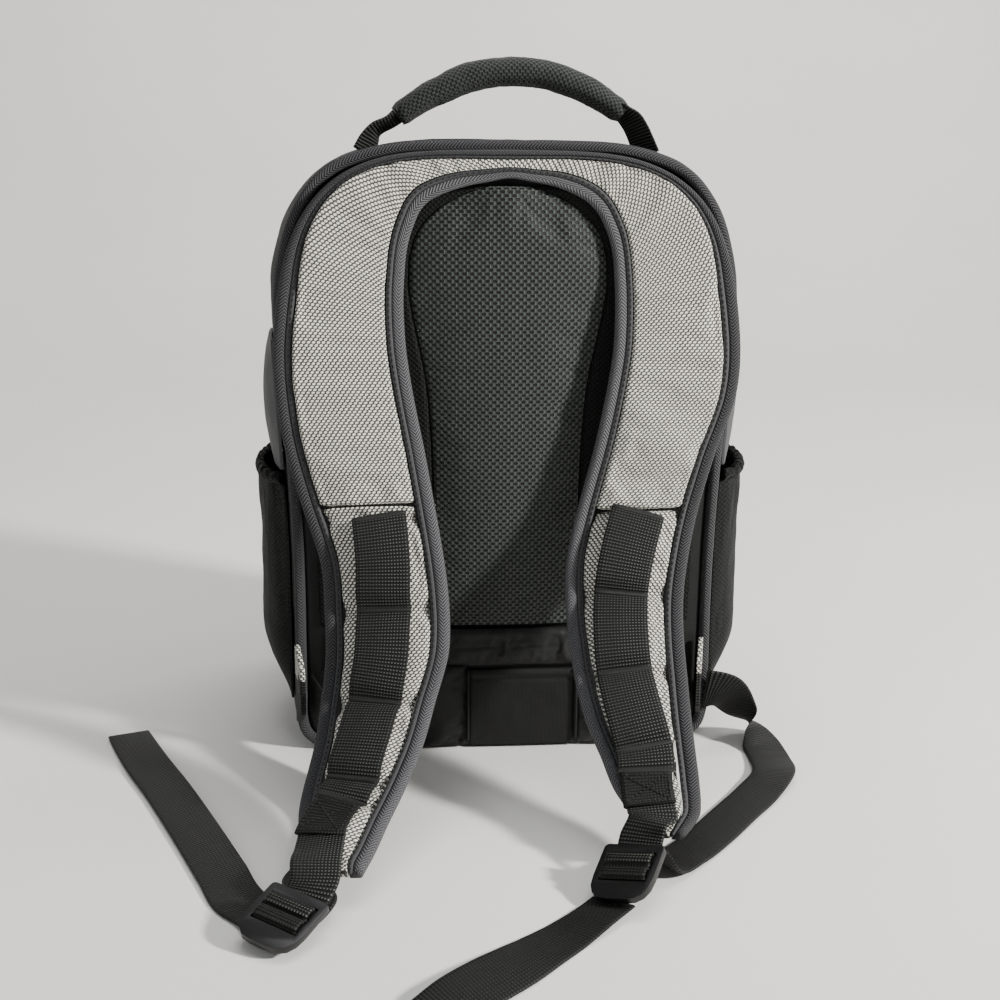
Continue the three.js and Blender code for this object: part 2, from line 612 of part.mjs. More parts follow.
function lumbar() {
  const half = 0.8 * BODY_HALF_WIDTH;
  const bandBottom = LUMBAR_TOP - LUMBAR_BAND_HEIGHT;
  const strip = (low, high, from, to) => [
    { height: low, from, to, full: 1 },
    { height: (low + high) / 2, from, to, full: 1 },
    { height: high, from, to, full: 1 },
  ];
  const cushionTop = bandBottom - GAP;
  backPad('lumbar_band', strip(bandBottom, LUMBAR_TOP, -half, half), [4, 6], LUMBAR_THICK, 'black_nylon');
  const low = 3;
  const left = strip(low, cushionTop, -0.97 * half, -FLAP_LEFT - 2.5);
  backPad('lumbar_cushion_left', left, [5, 5], CUSHION_THICK, 'black_nylon');
  const right = strip(low, cushionTop, FLAP_RIGHT + 2.5, 0.97 * half);
  backPad('lumbar_cushion_right', right, [5, 5], CUSHION_THICK, 'black_nylon');
  backPad('belt_flap', strip(low - 1, cushionTop - 3, -FLAP_LEFT, FLAP_RIGHT), [4, 4], FLAP_THICK, 'grey_nylon');
}

// The harness as rows from the crown to a tip. Each row has its inner and outer edge, and the unit vectors
// across it and out of its face.
const ROW_STEPS = 2;
function harnessRows(sections, side, reach) {
  const last = sections.length - 1;
  const rows = range(last * ROW_STEPS + 1).map((step) => {
    const place = step / ROW_STEPS;
    const read = (column) => columnAt(sections, column, place);
    const away = read('away') * reach;
    const innerX = read('inner') * BODY_HALF_WIDTH;
    const outerX = read('outer') * BODY_HALF_WIDTH;
    const width = Math.hypot(outerX - innerX, (read('outerUp') - read('innerUp')) * BODY_HEIGHT);
    const turn = (Math.tan(degrees(read('roll'))) * width) / 2;
    const fall = turn * TURN_FALL;
    const inner = point(side * innerX, BACK_Y - away - turn, read('innerUp') * BODY_HEIGHT + fall);
    const outer = point(side * outerX, BACK_Y - away + turn, read('outerUp') * BODY_HEIGHT - fall);
    return { inner, outer, tape: read('tape') * OUTER_TAPE };
  });
  const middle = (row) => row.inner.clone().add(row.outer).multiplyScalar(0.5);
  let travelled = 0;
  rows.forEach((row, index) => {
    const before = rows[Math.max(index - 1, 0)];
    const after = rows[Math.min(index + 1, rows.length - 1)];
    const along = middle(after).sub(middle(before));
    if (index === 0) {
      along.set(side, 0, 0);
    }
    row.width = row.inner.distanceTo(row.outer);
    row.across = row.outer.clone().sub(row.inner).divideScalar(row.width);
    row.face = new THREE.Vector3().crossVectors(row.across, along).multiplyScalar(-side).normalize();
    row.middle = middle(row);
    travelled += index === 0 ? 0 : row.middle.distanceTo(rows[index - 1].middle);
    row.travel = travelled;
    row.innerTape = Math.min(INNER_TAPE, row.width * MOST_TAPE);
    row.outerTape = Math.min(row.tape, row.width * MOST_TAPE);
  });
  return rows;
}
const LEFT_ROWS = harnessRows(LEFT_SECTIONS, -1, LEFT_REACH);
const RIGHT_ROWS = harnessRows(RIGHT_SECTIONS, 1, RIGHT_REACH);
function barsOn(rows, shares) {
  const whole = rows[rows.length - 1].travel;
  return { first: shares.first * whole, pitch: shares.pitch * whole };
}
const LEFT_BARS = barsOn(LEFT_ROWS, LEFT_BAR_SHARES);
const RIGHT_BARS = barsOn(RIGHT_ROWS, RIGHT_BAR_SHARES);

// A point of a row's cross-section: a length from the inner edge, and a height off the middle surface.
function rowPoint(row, length, height) {
  return row.inner.clone().addScaledVector(row.across, length).addScaledVector(row.face, height);
}

function padSection(row) {
  const from = row.innerTape + GAP;
  const to = row.width - row.outerTape - GAP;
  const lean = 0.18 * (to - from);
  const crown = Math.min(1, (to - from) / (2 * INNER_TAPE));
  const front = mix(HARNESS_EDGE, HARNESS_FRONT, crown);
  const shoulder = mix(HARNESS_EDGE, HARNESS_FRONT, 0.75 * crown);
  return [
    rowPoint(row, from, -HARNESS_EDGE),
    rowPoint(row, from, HARNESS_EDGE),
    rowPoint(row, from + lean, shoulder),
    rowPoint(row, (from + to) / 2, front),
    rowPoint(row, to - lean, shoulder),
    rowPoint(row, to, HARNESS_EDGE),
    rowPoint(row, to, -HARNESS_EDGE),
    rowPoint(row, (from + to) / 2, -mix(HARNESS_EDGE, HARNESS_BACK, crown)),
  ];
}

function tapeSection(row, width, fromOuter) {
  const profile = [
    { across: 0, up: -0.2 },
    { across: 0.12, up: -0.95 },
    { across: 1, up: -0.95 },
    { across: 1, up: 0.85 },
    { across: 0.4, up: 1.2 },
    { across: 0.06, up: 0.75 },
  ];
  return profile.map(({ across, up }) => {
    const length = fromOuter ? row.width - across * width : across * width;
    return rowPoint(row, length, up * HARNESS_EDGE);
  });
}

const SEAM_BACK = 8;
function harness() {
  const yoke = (rows, bars) => rows.filter((row) => row.travel < bars.first - SEAM_BACK);
  const strap = (rows, bars) => rows.filter((row) => row.travel >= bars.first - SEAM_BACK);
  const seam = (rows, bars) => {
    const before = yoke(rows, bars).pop();
    const after = strap(rows, bars)[0];
    const share = (GAP * 2) / after.middle.distanceTo(before.middle);
    const last = padSection(before);
    return padSection(after).map((corner, index) => corner.clone().lerp(last[index], share));
  };
  add('shoulder_yoke', loft([
    seam(LEFT_ROWS, LEFT_BARS),
    ...yoke(LEFT_ROWS, LEFT_BARS).reverse().map(padSection),
    ...yoke(RIGHT_ROWS, RIGHT_BARS).slice(1).map(padSection),
    seam(RIGHT_ROWS, RIGHT_BARS),
  ]), 'silver_cloth');
  add('shoulder_strap_left', loft(strap(LEFT_ROWS, LEFT_BARS).map(padSection)), 'silver_cloth');
  add('shoulder_strap_right', loft(strap(RIGHT_ROWS, RIGHT_BARS).map(padSection)), 'silver_cloth');
  const around = [...LEFT_ROWS].reverse().concat(RIGHT_ROWS.slice(1));
  add('inner_binding', loft(around.map((row) => tapeSection(row, row.innerTape, false))), 'grey_binding');
  add('outer_binding', loft(around.map((row) => tapeSection(row, row.outerTape, true))), 'grey_binding');
}

// A frame on the harness, a length from the crown along a strap and a share across it, lifted off its face.
function harnessFrame(rows, travel, share, lift) {
  let index = rows.findIndex((row) => row.travel >= travel);
  index = index < 1 ? rows.length - 1 : index;
  const [before, after] = [rows[index - 1], rows[index]];
  const part = (travel - before.travel) / (after.travel - before.travel);
  const face = before.face.clone().lerp(after.face, part).normalize();
  const start = rowPoint(before, share * before.width, lift);
  const place = start.lerp(rowPoint(after, share * after.width, lift), part);
  return { place, face, across: before.across.clone().lerp(after.across, part).normalize() };
}

// Turns each frame's width the same way as the one after it.
function aligned(frames) {
  const kept = frames.map((frame) => ({ place: frame.place, across: frame.across.clone() }));
  for (let index = kept.length - 2; index >= 0; index -= 1) {
    if (kept[index].across.dot(kept[index + 1].across) < 0) {
      kept[index].across.negate();
    }
  }
  return kept;
}

// Squares each frame's width to the way its band runs.
function squared(frames) {
  return frames.map((frame, index) => {
    const before = frames[Math.max(index - 1, 0)].place;
    const after = frames[Math.min(index + 1, frames.length - 1)].place;
    const along = after.clone().sub(before).normalize();
    const side = frame.across.clone().addScaledVector(along, -frame.across.dot(along)).normalize();
    return { place: frame.place, side, face: new THREE.Vector3().crossVectors(along, side).normalize() };
  });
}

const webLift = HARNESS_FRONT + WEB_THICK / 2 + 3 * GAP;
const patchStart = (bars) => bars.first + (BAR_COUNT - 1) * bars.pitch + PATCH_OFFSET;
function acrossAt(shares, bars, travel) {
  const rows = shares.map((share) => ({ share }));
  const lastBar = BAR_COUNT - 1;
  const gone = (travel - bars.first) / bars.pitch;
  const past = (travel - bars.first - lastBar * bars.pitch) / PATCH_OFFSET;
  const place = gone <= lastBar ? gone : lastBar + past;
  return columnAt(rows, 'share', THREE.MathUtils.clamp(place, 0, lastBar + 1));
}

// Ladder webbing: it is sewn down at each bar and stands a little proud between them.
function daisyWeb(name, rows, shares, bars) {
  const stepsPerLoop = 6;
  const frames = [];
  for (const bar of range(BAR_COUNT - 1)) {
    for (const step of range(stepsPerLoop)) {
      const share = step / stepsPerLoop;
      const travel = bars.first + 2 + (bar + share) * bars.pitch;
      const lift = webLift + DAISY_BULGE * Math.sin(Math.PI * share) ** 0.5;
      frames.push(harnessFrame(rows, travel, acrossAt(shares, bars, travel), lift));
    }
  }
  const end = patchStart(bars);
  for (const [back, rise] of [[PATCH_OFFSET, 0], [PATCH_OFFSET / 2, 0.4], [3 * GAP, 0]]) {
    const travel = end - back;
    frames.push(harnessFrame(rows, travel, acrossAt(shares, bars, travel), webLift + rise * DAISY_BULGE));
  }
  add(name, ribbon(squared(frames), DAISY_WIDTH, WEB_THICK), 'black_webbing');
}

function stitchPatch(name, rows, shares, bars) {
  const [from, to] = [shares[shares.length - 2], shares[shares.length - 1]];
  const frames = [0, 0.33, 0.66, 1].map((part) => {
    const lift = HARNESS_FRONT + PATCH_THICK / 2 + 2 * GAP;
    return harnessFrame(rows, patchStart(bars) + part * PATCH_LENGTH, mix(from, to, part), lift);
  });
  add(name, ribbon(squared(frames), PATCH_WIDTH, PATCH_THICK), 'black_webbing');
}

// Ladder locks. A lock's own frame has across along its bars, down away from the strap, and up out of its face.
const slotWidth = WEB_THICK + 1;
const bridgeSlot = 2 * WEB_THICK + 1.2;
const firstBarAt = LOCK_RIM + slotWidth;
const bridgeAt = firstBarAt + LOCK_BAR;
const secondBarAt = bridgeAt + bridgeSlot;
const lastSlotAt = secondBarAt + LOCK_BAR;
const tabAt = lastSlotAt + slotWidth;
function lockFrame(lock, reach) {
  const [heading, pitch, roll] = [degrees(lock.heading), degrees(lock.pitch), degrees(lock.roll)];
  const flat = point(-Math.sin(heading), -Math.cos(heading), 0);
  const down = flat.multiplyScalar(Math.cos(pitch)).add(point(0, 0, -Math.sin(pitch)));
  const level = point(Math.cos(heading), -Math.sin(heading), 0);
  const lifted = new THREE.Vector3().crossVectors(level, down).multiplyScalar(-1);
  const across = level.clone().multiplyScalar(Math.cos(roll)).addScaledVector(lifted, Math.sin(roll));
  const up = new THREE.Vector3().crossVectors(down, across);
  const origin = point(lock.across * BODY_HALF_WIDTH, BACK_Y - lock.out * reach, lock.up * BODY_HEIGHT);
  return { origin, across, down, up };
}
function lockPoint(frame, across, down, up) {
  return frame.origin.clone()
    .addScaledVector(frame.across, across)
    .addScaledVector(frame.down, down)
    .addScaledVector(frame.up, up);
}

function ladderLock(name, frame) {
  const half = LOCK_WIDTH / 2;
  const shape = new THREE.Shape();
  const tip = tabAt + LOCK_TAB;
  shape.moveTo(0, -half + 2.5);
  shape.quadraticCurveTo(0, -half, 3, -half);
  shape.lineTo(lastSlotAt, -half);
  shape.quadraticCurveTo(tip, -half, tip, -0.3 * half);
  shape.lineTo(tip, 0.3 * half);
  shape.quadraticCurveTo(tip, half, lastSlotAt, half);
  shape.lineTo(3, half);
  shape.quadraticCurveTo(0, half, 0, half - 2.5);
  const slots = [[LOCK_RIM, firstBarAt, 0], [bridgeAt, secondBarAt, 0.4], [lastSlotAt, tabAt, 0.8]];
  for (const [from, to, narrower] of slots) {
    const side = half - LOCK_SIDE - narrower / 2;
    const slot = new THREE.Path();
    slot.moveTo(from, -side);
    slot.lineTo(from, side);
    slot.lineTo(to, side);
    slot.lineTo(to, -side);
    shape.holes.push(slot);
  }
  const plate = new THREE.ExtrudeGeometry(shape, { depth: LOCK_THICK, bevelEnabled: false, curveSegments: 4 });
  plate.translate(0, 0, -LOCK_THICK / 2);
  const mesh = add(name, plate, 'black_plastic');
  const place = new THREE.Matrix4().makeBasis(frame.down, frame.across, frame.up);
  mesh.applyMatrix4(place.setPosition(frame.origin));
}

// A path in a lock's own down and up directions that turns round the edges of its bars.
const webRound = WEB_THICK / 2 + GAP;
function roundEdge(down, up, from, to) {
  const steps = 3;
  return range(steps + 1).map((step) => {
    const turn = degrees(mix(from, to, step / steps));
    return { down: down + webRound * Math.cos(turn), up: up + webRound * Math.sin(turn) };
  });
}
function lockFrames(frame, path) {
  return path.map(({ down, up }) => ({ place: lockPoint(frame, 0, down, up), across: frame.across }));
}

const lockFace = LOCK_THICK / 2;
// Fixed webbing: from the stitched patch, under the lock's rim, up and over its first bar.
function buckleWeb(name, rows, shares, bars, frame) {
  const share = shares[shares.length - 1];
  const start = patchStart(bars) + PATCH_LENGTH + 7 * GAP;
  const lift = HARNESS_FRONT + WEB_THICK / 2;
  const leaving = harnessFrame(rows, start, share, lift);
  const slope = (share - shares[shares.length - 2]) / PATCH_LENGTH;
  const beyond = harnessFrame(rows, start + 5, share + 5 * slope, lift + 0.5);
  const ahead = beyond.place.clone().add(lockPoint(frame, 0, -8, -lockFace)).multiplyScalar(0.5);
  ahead.z += 3;
  const path = [
    { down: -8, up: -lockFace * 0.6 },
    ...roundEdge(LOCK_RIM, -lockFace, -90, 0),
    ...roundEdge(firstBarAt, lockFace, 180, 90),
    ...roundEdge(bridgeAt, lockFace, 90, 0),
    { down: bridgeAt + webRound, up: -lockFace },
  ];
  path.splice(1, 0, { down: 0, up: -lockFace - webRound });
  const frames = [leaving, beyond, { place: ahead, across: frame.across }, ...lockFrames(frame, path)];
  add(name, ribbon(squared(aligned(frames)), WEB_WIDTH, WEB_THICK), 'black_webbing');
}

function routeFrames(route, reach) {
  const along = (index) => {
    const before = route[Math.max(index - 1, 0)];
    const after = route[Math.min(index + 1, route.length - 1)];
    return point((after.across - before.across) * BODY_HALF_WIDTH, -(after.out - before.out) * reach, 0).normalize();
  };
  return route.map((row, index) => {
    const place = point(row.across * BODY_HALF_WIDTH, BACK_Y - row.out * reach, row.lift * WEB_THICK);
    const level = new THREE.Vector3().crossVectors(along(index), point(0, 0, 1)).normalize();
    const across = level.multiplyScalar(Math.cos(degrees(row.lean)));
    return { place, across: across.add(point(0, 0, Math.sin(degrees(row.lean)))) };
  });
}

// Adjusting webbing: from the wing tab along the floor, up through the lock, over its second bar and down.
function adjustWeb(name, route, reach, frame, start) {
  const run = routeFrames(route, reach);
  const under = -lockFace - 2 * WEB_THICK - 3 * GAP;
  const path = [
    { down: -4, up: under - WEB_THICK },
    { down: bridgeAt - WEB_THICK, up: under },
    { down: secondBarAt - webRound - 0.2, up: under + 1.6 * WEB_THICK },
    ...roundEdge(secondBarAt, lockFace, 180, 90),
    ...roundEdge(lastSlotAt, lockFace, 90, 0),
    { down: lastSlotAt + webRound, up: -lockFace },
    { down: tabAt, up: -lockFace - webRound - 0.4 },
  ];
  const frames = squared(aligned([start, ...run, ...lockFrames(frame, path)]));
  add(name, ribbon(frames, WEB_WIDTH, WEB_THICK), 'black_webbing');
}

function tail(name, route, reach) {
  const frames = routeFrames(route, reach);
  add(name, ribbon(squared(frames), WEB_WIDTH, WEB_THICK), 'black_webbing');
}

// A wing tab at a lower corner, sewn to the piping, that carries the adjusting webbing.
const tabStem = BACK_Y - PIPING_PROUD - GAP;
function wingTab(name, side) {
  const root = outlineHalf(TAB_MIDDLE) - (side < 0 ? 0 : RIGHT_TAB_INSET);
  const rows = [
    { out: 0, height: 1 },
    { out: 0.55, height: 0.8 },
    { out: 1, height: 0.56 },
  ];
  const grid = (inset) => rows.map((row) => [-0.5, 0, 0.5].map((up) => {
    const x = side * (root - 0.25 * TAB_LENGTH * row.out - inset);
    return point(x, tabStem - row.out * TAB_LENGTH, TAB_MIDDLE + up * row.height * TAB_HEIGHT);
  }));
  add(name, sheet(grid(0), grid(TAB_THICK)), 'silver_cloth');
}

function leftTabEnd() {
  const x = -(outlineHalf(TAB_MIDDLE) - 0.25 * TAB_LENGTH);
  return { place: point(x + TAB_THICK + 2 * GAP + WEB_THICK, tabStem - 3, TAB_MIDDLE - 5), across: point(0, 0, 1) };
}
function rightTabEnd() {
  const x = outlineHalf(TAB_MIDDLE) - RIGHT_TAB_INSET;
  return { place: point(x + 1.5 * GAP + WEB_THICK / 2, tabStem - 4, TAB_MIDDLE - 8), across: point(0, 0, 1) };
}

// Mesh side pocket: a thin wall that leaves the bag's side along its back, floor and front edges.
const POCKET_COLUMNS = 10;
const POCKET_ROWS = 6;
function pocketStand(side, along, up) {
  const bulge = side < 0 ? LEFT_POCKET_BULGE : RIGHT_POCKET_BULGE;
  const belly = Math.sin(Math.PI * along) ** 0.55;
  const height = up < 0.12 ? ease(up / 0.12) : mix(1, 0.85, (up - 0.12) / 0.88);
  return bulge * belly * height;
}
function pocketPoint(side, along, up, extra) {
  const height = mix(POCKET_FLOOR, POCKET_TOP, up);
  const distance = POCKET_BACK + along * POCKET_LENGTH;
  const x = sideSurface(height, distance) + GAP + pocketStand(side, along, up) + extra;
  return point(side * x, BACK_Y + distance, height);
}
function sidePocket(name, side) {
  const grid = (extra) => range(POCKET_ROWS + 1).map((row) => range(POCKET_COLUMNS + 1).map((column) => (
    pocketPoint(side, column / POCKET_COLUMNS, row / POCKET_ROWS, extra)
  )));
  add(name, sheet(grid(POCKET_WALL), grid(0)), 'black_mesh');
}
function pocketHem(name, side) {
  const steps = HEM_RUFFLES * 4;
  const sides = 5;
  const sections = range(steps + 1).map((step) => {
    const along = step / steps;
    const wave = Math.sin(2 * Math.PI * HEM_RUFFLES * along);
    const swell = Math.cos(2 * Math.PI * HEM_RUFFLES * along);
    const centre = pocketPoint(side, along, 1, HEM_RADIUS * (1 - 0.7 * Math.sin(Math.PI * along) ** 0.5));
    centre.z += HEM_RADIUS + HEM_RUFFLE_DEPTH * (0.9 + wave);
    const next = pocketPoint(side, Math.min(along + 0.02, 1), 1, 0);
    const last = pocketPoint(side, Math.max(along - 0.02, 0), 1, 0);
    const way = next.sub(last).setZ(0).normalize();
    const outward = point(way.y, -way.x, 0).multiplyScalar(side);
    return range(sides).map((corner) => {
      const turn = (2 * Math.PI * corner) / sides;
      const radius = HEM_RADIUS * (1 + 0.18 * swell);
      return centre.clone()
        .addScaledVector(outward, 0.8 * radius * Math.cos(turn))
        .add(point(0, 0, radius * Math.sin(turn)));
    });
  });
  add(name, loft(sections), 'black_mesh');
}

// Smooth grey flap on the bag's side, from above the pocket's mouth upwards.
const hemTop = POCKET_TOP + 2 * HEM_RADIUS + 2 * HEM_RUFFLE_DEPTH + 4 * GAP;
function sideFlap(name, side) {
  const grid = (extra) => range(7).map((row) => range(7).map((column) => {
    const [along, up] = [column / 6, row / 6];
    const height = hemTop + up * FLAP_HEIGHT;
    const distance = POCKET_BACK + along * SIDE_FLAP_LENGTH * mix(1, 0.75, up);
    const stand = SIDE_FLAP_BULGE * Math.sin(Math.PI * along) ** 0.6 * Math.sin(Math.PI * mix(0.12, 1, up)) ** 0.7;
    return point(side * (sideSurface(height, distance) + GAP + stand + extra), BACK_Y + distance, height);
  }));
  add(name, sheet(grid(SIDE_FLAP_THICK), grid(0)), 'grey_nylon');
}

// Carry handle: a padded sleeve over webbing that is sewn into the top near the back.
const handleY = BACK_Y + HANDLE_BACK;
function handleMiddle(share) {
  const x = mix(-HANDLE_SPAN / 2, HANDLE_SPAN / 2, share) + 2;
  const rise = HANDLE_RISE * (1 - (2 * share - 1) ** 2);
  return point(x, handleY, BODY_HEIGHT + HANDLE_ABOVE_TOP + rise + 3 * (share - 0.5));
}
function handleFrame(share) {
  const along = handleMiddle(share + STEM).sub(handleMiddle(share - STEM)).normalize();
  return { place: handleMiddle(share), along, up: point(-along.z, 0, along.x) };
}
function handleSleeve() {
  const steps = 14;
  const sides = 10;
  const sections = range(steps + 1).map((step) => {
    const share = step / steps;
    const { place, up } = handleFrame(share);
    const fill = mix(0.82, 1, Math.min(1, 4 * Math.min(share, 1 - share)));
    return range(sides).map((corner) => {
      const turn = (2 * Math.PI * (corner + 0.5)) / sides;
      return place.clone()
        .addScaledVector(up, (fill * HANDLE_HEIGHT * Math.sin(turn)) / 2)
        .add(point(0, (HANDLE_DEPTH * Math.cos(turn)) / 2, 0));
    });
  });
  add('handle_sleeve', loft(sections), 'black_mesh');
}
function handleWeb(name, side) {
  const share = side < 0 ? 0 : 1;
  const { place, along } = handleFrame(share);
  const start = place.clone().addScaledVector(along, side * 2 * GAP);
  const foot = side * HANDLE_FOOT;
  const ground = topSurface(Math.abs(foot), HANDLE_BACK) + 3 * REST + WEB_THICK;
  const across = point(-side * 0.5, 0.87, 0);
  const frames = [
    { place: start, across },
    { place: start.clone().addScaledVector(along, side * 4), across },
    { place: point(foot - side * 1, handleY, mix(start.z, ground, 0.6)), across },
    { place: point(foot + side * 1.5, handleY, ground + 1), across },
  ];
  add(name, ribbon(squared(frames), WEB_WIDTH * 0.92, 2), 'black_webbing');
}
// Height of the bag's top at a distance from its middle and from its back.
function topSurface(half, distance) {
  const ring = OUTLINE_RING.slice(0, CROWN_INDEX + 1);
  for (let index = ring.length - 1; index > 0; index -= 1) {
    if (ring[index - 1].x >= half && ring[index].x <= half) {
      const share = (half - ring[index].x) / (ring[index - 1].x - ring[index].x);
      const height = mix(ring[index].y, ring[index - 1].y, share);
      return height * (1 - FRONT_DROP * (distance / depthAt(height)) ** 2);
    }
  }
  return BODY_HEIGHT;
}

sideGusset();
edgePiping();
backPanel();
frontLid();
zip();
zipSliders();
backPads();
lumbar();
harness();
const leftLock = lockFrame(LEFT_LOCK, LEFT_REACH);
const rightLock = lockFrame(RIGHT_LOCK, RIGHT_REACH);
daisyWeb('daisy_web_left', LEFT_ROWS, LEFT_WEB_ACROSS, LEFT_BARS);
daisyWeb('daisy_web_right', RIGHT_ROWS, RIGHT_WEB_ACROSS, RIGHT_BARS);
stitchPatch('stitch_patch_left', LEFT_ROWS, LEFT_WEB_ACROSS, LEFT_BARS);
stitchPatch('stitch_patch_right', RIGHT_ROWS, RIGHT_WEB_ACROSS, RIGHT_BARS);
buckleWeb('buckle_web_left', LEFT_ROWS, LEFT_WEB_ACROSS, LEFT_BARS, leftLock);
buckleWeb('buckle_web_right', RIGHT_ROWS, RIGHT_WEB_ACROSS, RIGHT_BARS, rightLock);
ladderLock('ladder_lock_left', leftLock);
ladderLock('ladder_lock_right', rightLock);
wingTab('wing_tab_left', -1);
wingTab('wing_tab_right', 1);
adjustWeb('adjust_web_left', LEFT_ADJUST_ROUTE, LEFT_REACH, leftLock, leftTabEnd());
adjustWeb('adjust_web_right', RIGHT_ADJUST_ROUTE, RIGHT_REACH, rightLock, rightTabEnd());
tail('tail_left', LEFT_TAIL_ROUTE, LEFT_REACH);
tail('tail_right', RIGHT_TAIL_ROUTE, RIGHT_REACH);
for (const [name, side] of [['left', -1], ['right', 1]]) {
  sidePocket(`side_pocket_${name}`, side);
  pocketHem(`pocket_hem_${name}`, side);
  sideFlap(`side_flap_${name}`, side);
  handleWeb(`handle_web_${name}`, side);
}
handleSleeve();

export default bag;
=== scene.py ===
"""Camera backpack seen from its back: cloth, mesh, webbing and locks over the CAD frame."""

import math

import bmesh
import bpy
import numpy as np
from mathutils import Matrix, Vector, noise
from mathutils.bvhtree import BVHTree


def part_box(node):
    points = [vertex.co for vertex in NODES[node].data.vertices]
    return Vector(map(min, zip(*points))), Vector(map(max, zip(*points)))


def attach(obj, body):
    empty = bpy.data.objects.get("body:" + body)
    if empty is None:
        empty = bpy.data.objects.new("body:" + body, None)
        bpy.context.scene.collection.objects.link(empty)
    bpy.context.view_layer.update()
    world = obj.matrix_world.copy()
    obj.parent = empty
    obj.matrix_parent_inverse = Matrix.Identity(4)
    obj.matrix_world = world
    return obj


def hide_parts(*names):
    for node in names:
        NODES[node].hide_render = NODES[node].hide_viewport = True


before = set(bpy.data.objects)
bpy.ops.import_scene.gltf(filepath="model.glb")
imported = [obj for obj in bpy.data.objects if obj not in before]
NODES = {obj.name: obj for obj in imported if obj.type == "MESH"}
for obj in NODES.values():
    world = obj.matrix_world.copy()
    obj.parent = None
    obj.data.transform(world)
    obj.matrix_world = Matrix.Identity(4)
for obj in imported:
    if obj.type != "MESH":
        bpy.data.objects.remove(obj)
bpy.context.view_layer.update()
SIDES = ("left", "right")

bl_info = {
    "name": "Camera backpack",
    "version": (1, 0, 0),
    "blender": (4, 5, 0),
    "location": "View3D > Sidebar > Backpack",
    "description": "Builds the cloth, mesh, webbing and locks of a camera backpack over its CAD frame",
    "category": "Object",
}


# Settings


def colour(name, description, default):
    return bpy.props.FloatVectorProperty(
        name=name, description=description, default=default, subtype="COLOR", size=3, min=0, max=1
    )


def length(name, description, default):
    return bpy.props.FloatProperty(
        name=name, description=description, default=default, unit="LENGTH", min=0.0, precision=5
    )


class BackpackColours(bpy.types.PropertyGroup):
    silver_dark: colour("Silver ground", "Ground of the harness cloth", (0.056, 0.053, 0.047))
    silver_light: colour("Silver yarn", "Raised yarns of the harness cloth", (0.93, 0.905, 0.81))
    binding: colour("Binding", "Herringbone tape round the edges", (0.056, 0.056, 0.06))
    mesh: colour("Air mesh", "Knit of the back pads and pockets", (0.013, 0.016, 0.014))
    nylon: colour("Black nylon", "Body cloth and lumbar roll", (0.0042, 0.0044, 0.0045))
    grey: colour("Grey nylon", "Side flaps", (0.052, 0.052, 0.056))
    webbing: colour("Webbing", "Straps, handle and ladder webs", (0.0095, 0.0102, 0.0088))
    plastic: colour("Plastic", "Ladder locks and zip coil", (0.003, 0.003, 0.0033))
    metal: colour("Metal", "Zip sliders", (0.09, 0.09, 0.095))
    floor: colour("Floor", "Pale floor", (0.8, 0.788, 0.755))


class BackpackSizes(bpy.types.PropertyGroup):
    weave_across: length("Weave across", "Pitch of the silver yarns across", 0.0027)
    weave_along: length("Weave along", "Pitch of the silver yarns along", 0.0016)
    hole_across: length("Hole pitch", "Pitch of the mesh's holes across", 0.0042)
    hole_along: length("Hole rows", "Distance between the mesh's rows of holes", 0.0020)
    rib: length("Web rib", "Pitch of the ribs across the webbing", 0.0018)
    tape: length("Tape rib", "Pitch of the binding's twill", 0.0019)
    piping: length("Piping", "Width of the piping round the back edge", 0.0066)
    wrinkle: length("Wrinkles", "Height of the cloth's soft wrinkles", 0.0011)
    crease: length("Creases", "Depth of the pads' creases at the bars", 0.0038)
    stitch: length("Stitch", "Pitch of the seams' stitches", 0.0034)


def colours():
    return bpy.context.scene.backpack_colours


def sizes():
    return bpy.context.scene.backpack_sizes


# Shader expressions


class Value:
    """A shader socket that can be used in plain arithmetic."""

    def __init__(self, graph, socket):
        self.graph = graph
        self.socket = socket

    def __add__(self, other):
        return self.graph.math("ADD", self, other)

    def __radd__(self, other):
        return self.graph.math("ADD", other, self)

    def __sub__(self, other):
        return self.graph.math("SUBTRACT", self, other)

    def __mul__(self, other):
        return self.graph.math("MULTIPLY", self, other)

    def __truediv__(self, other):
        return self.graph.math("DIVIDE", self, other)


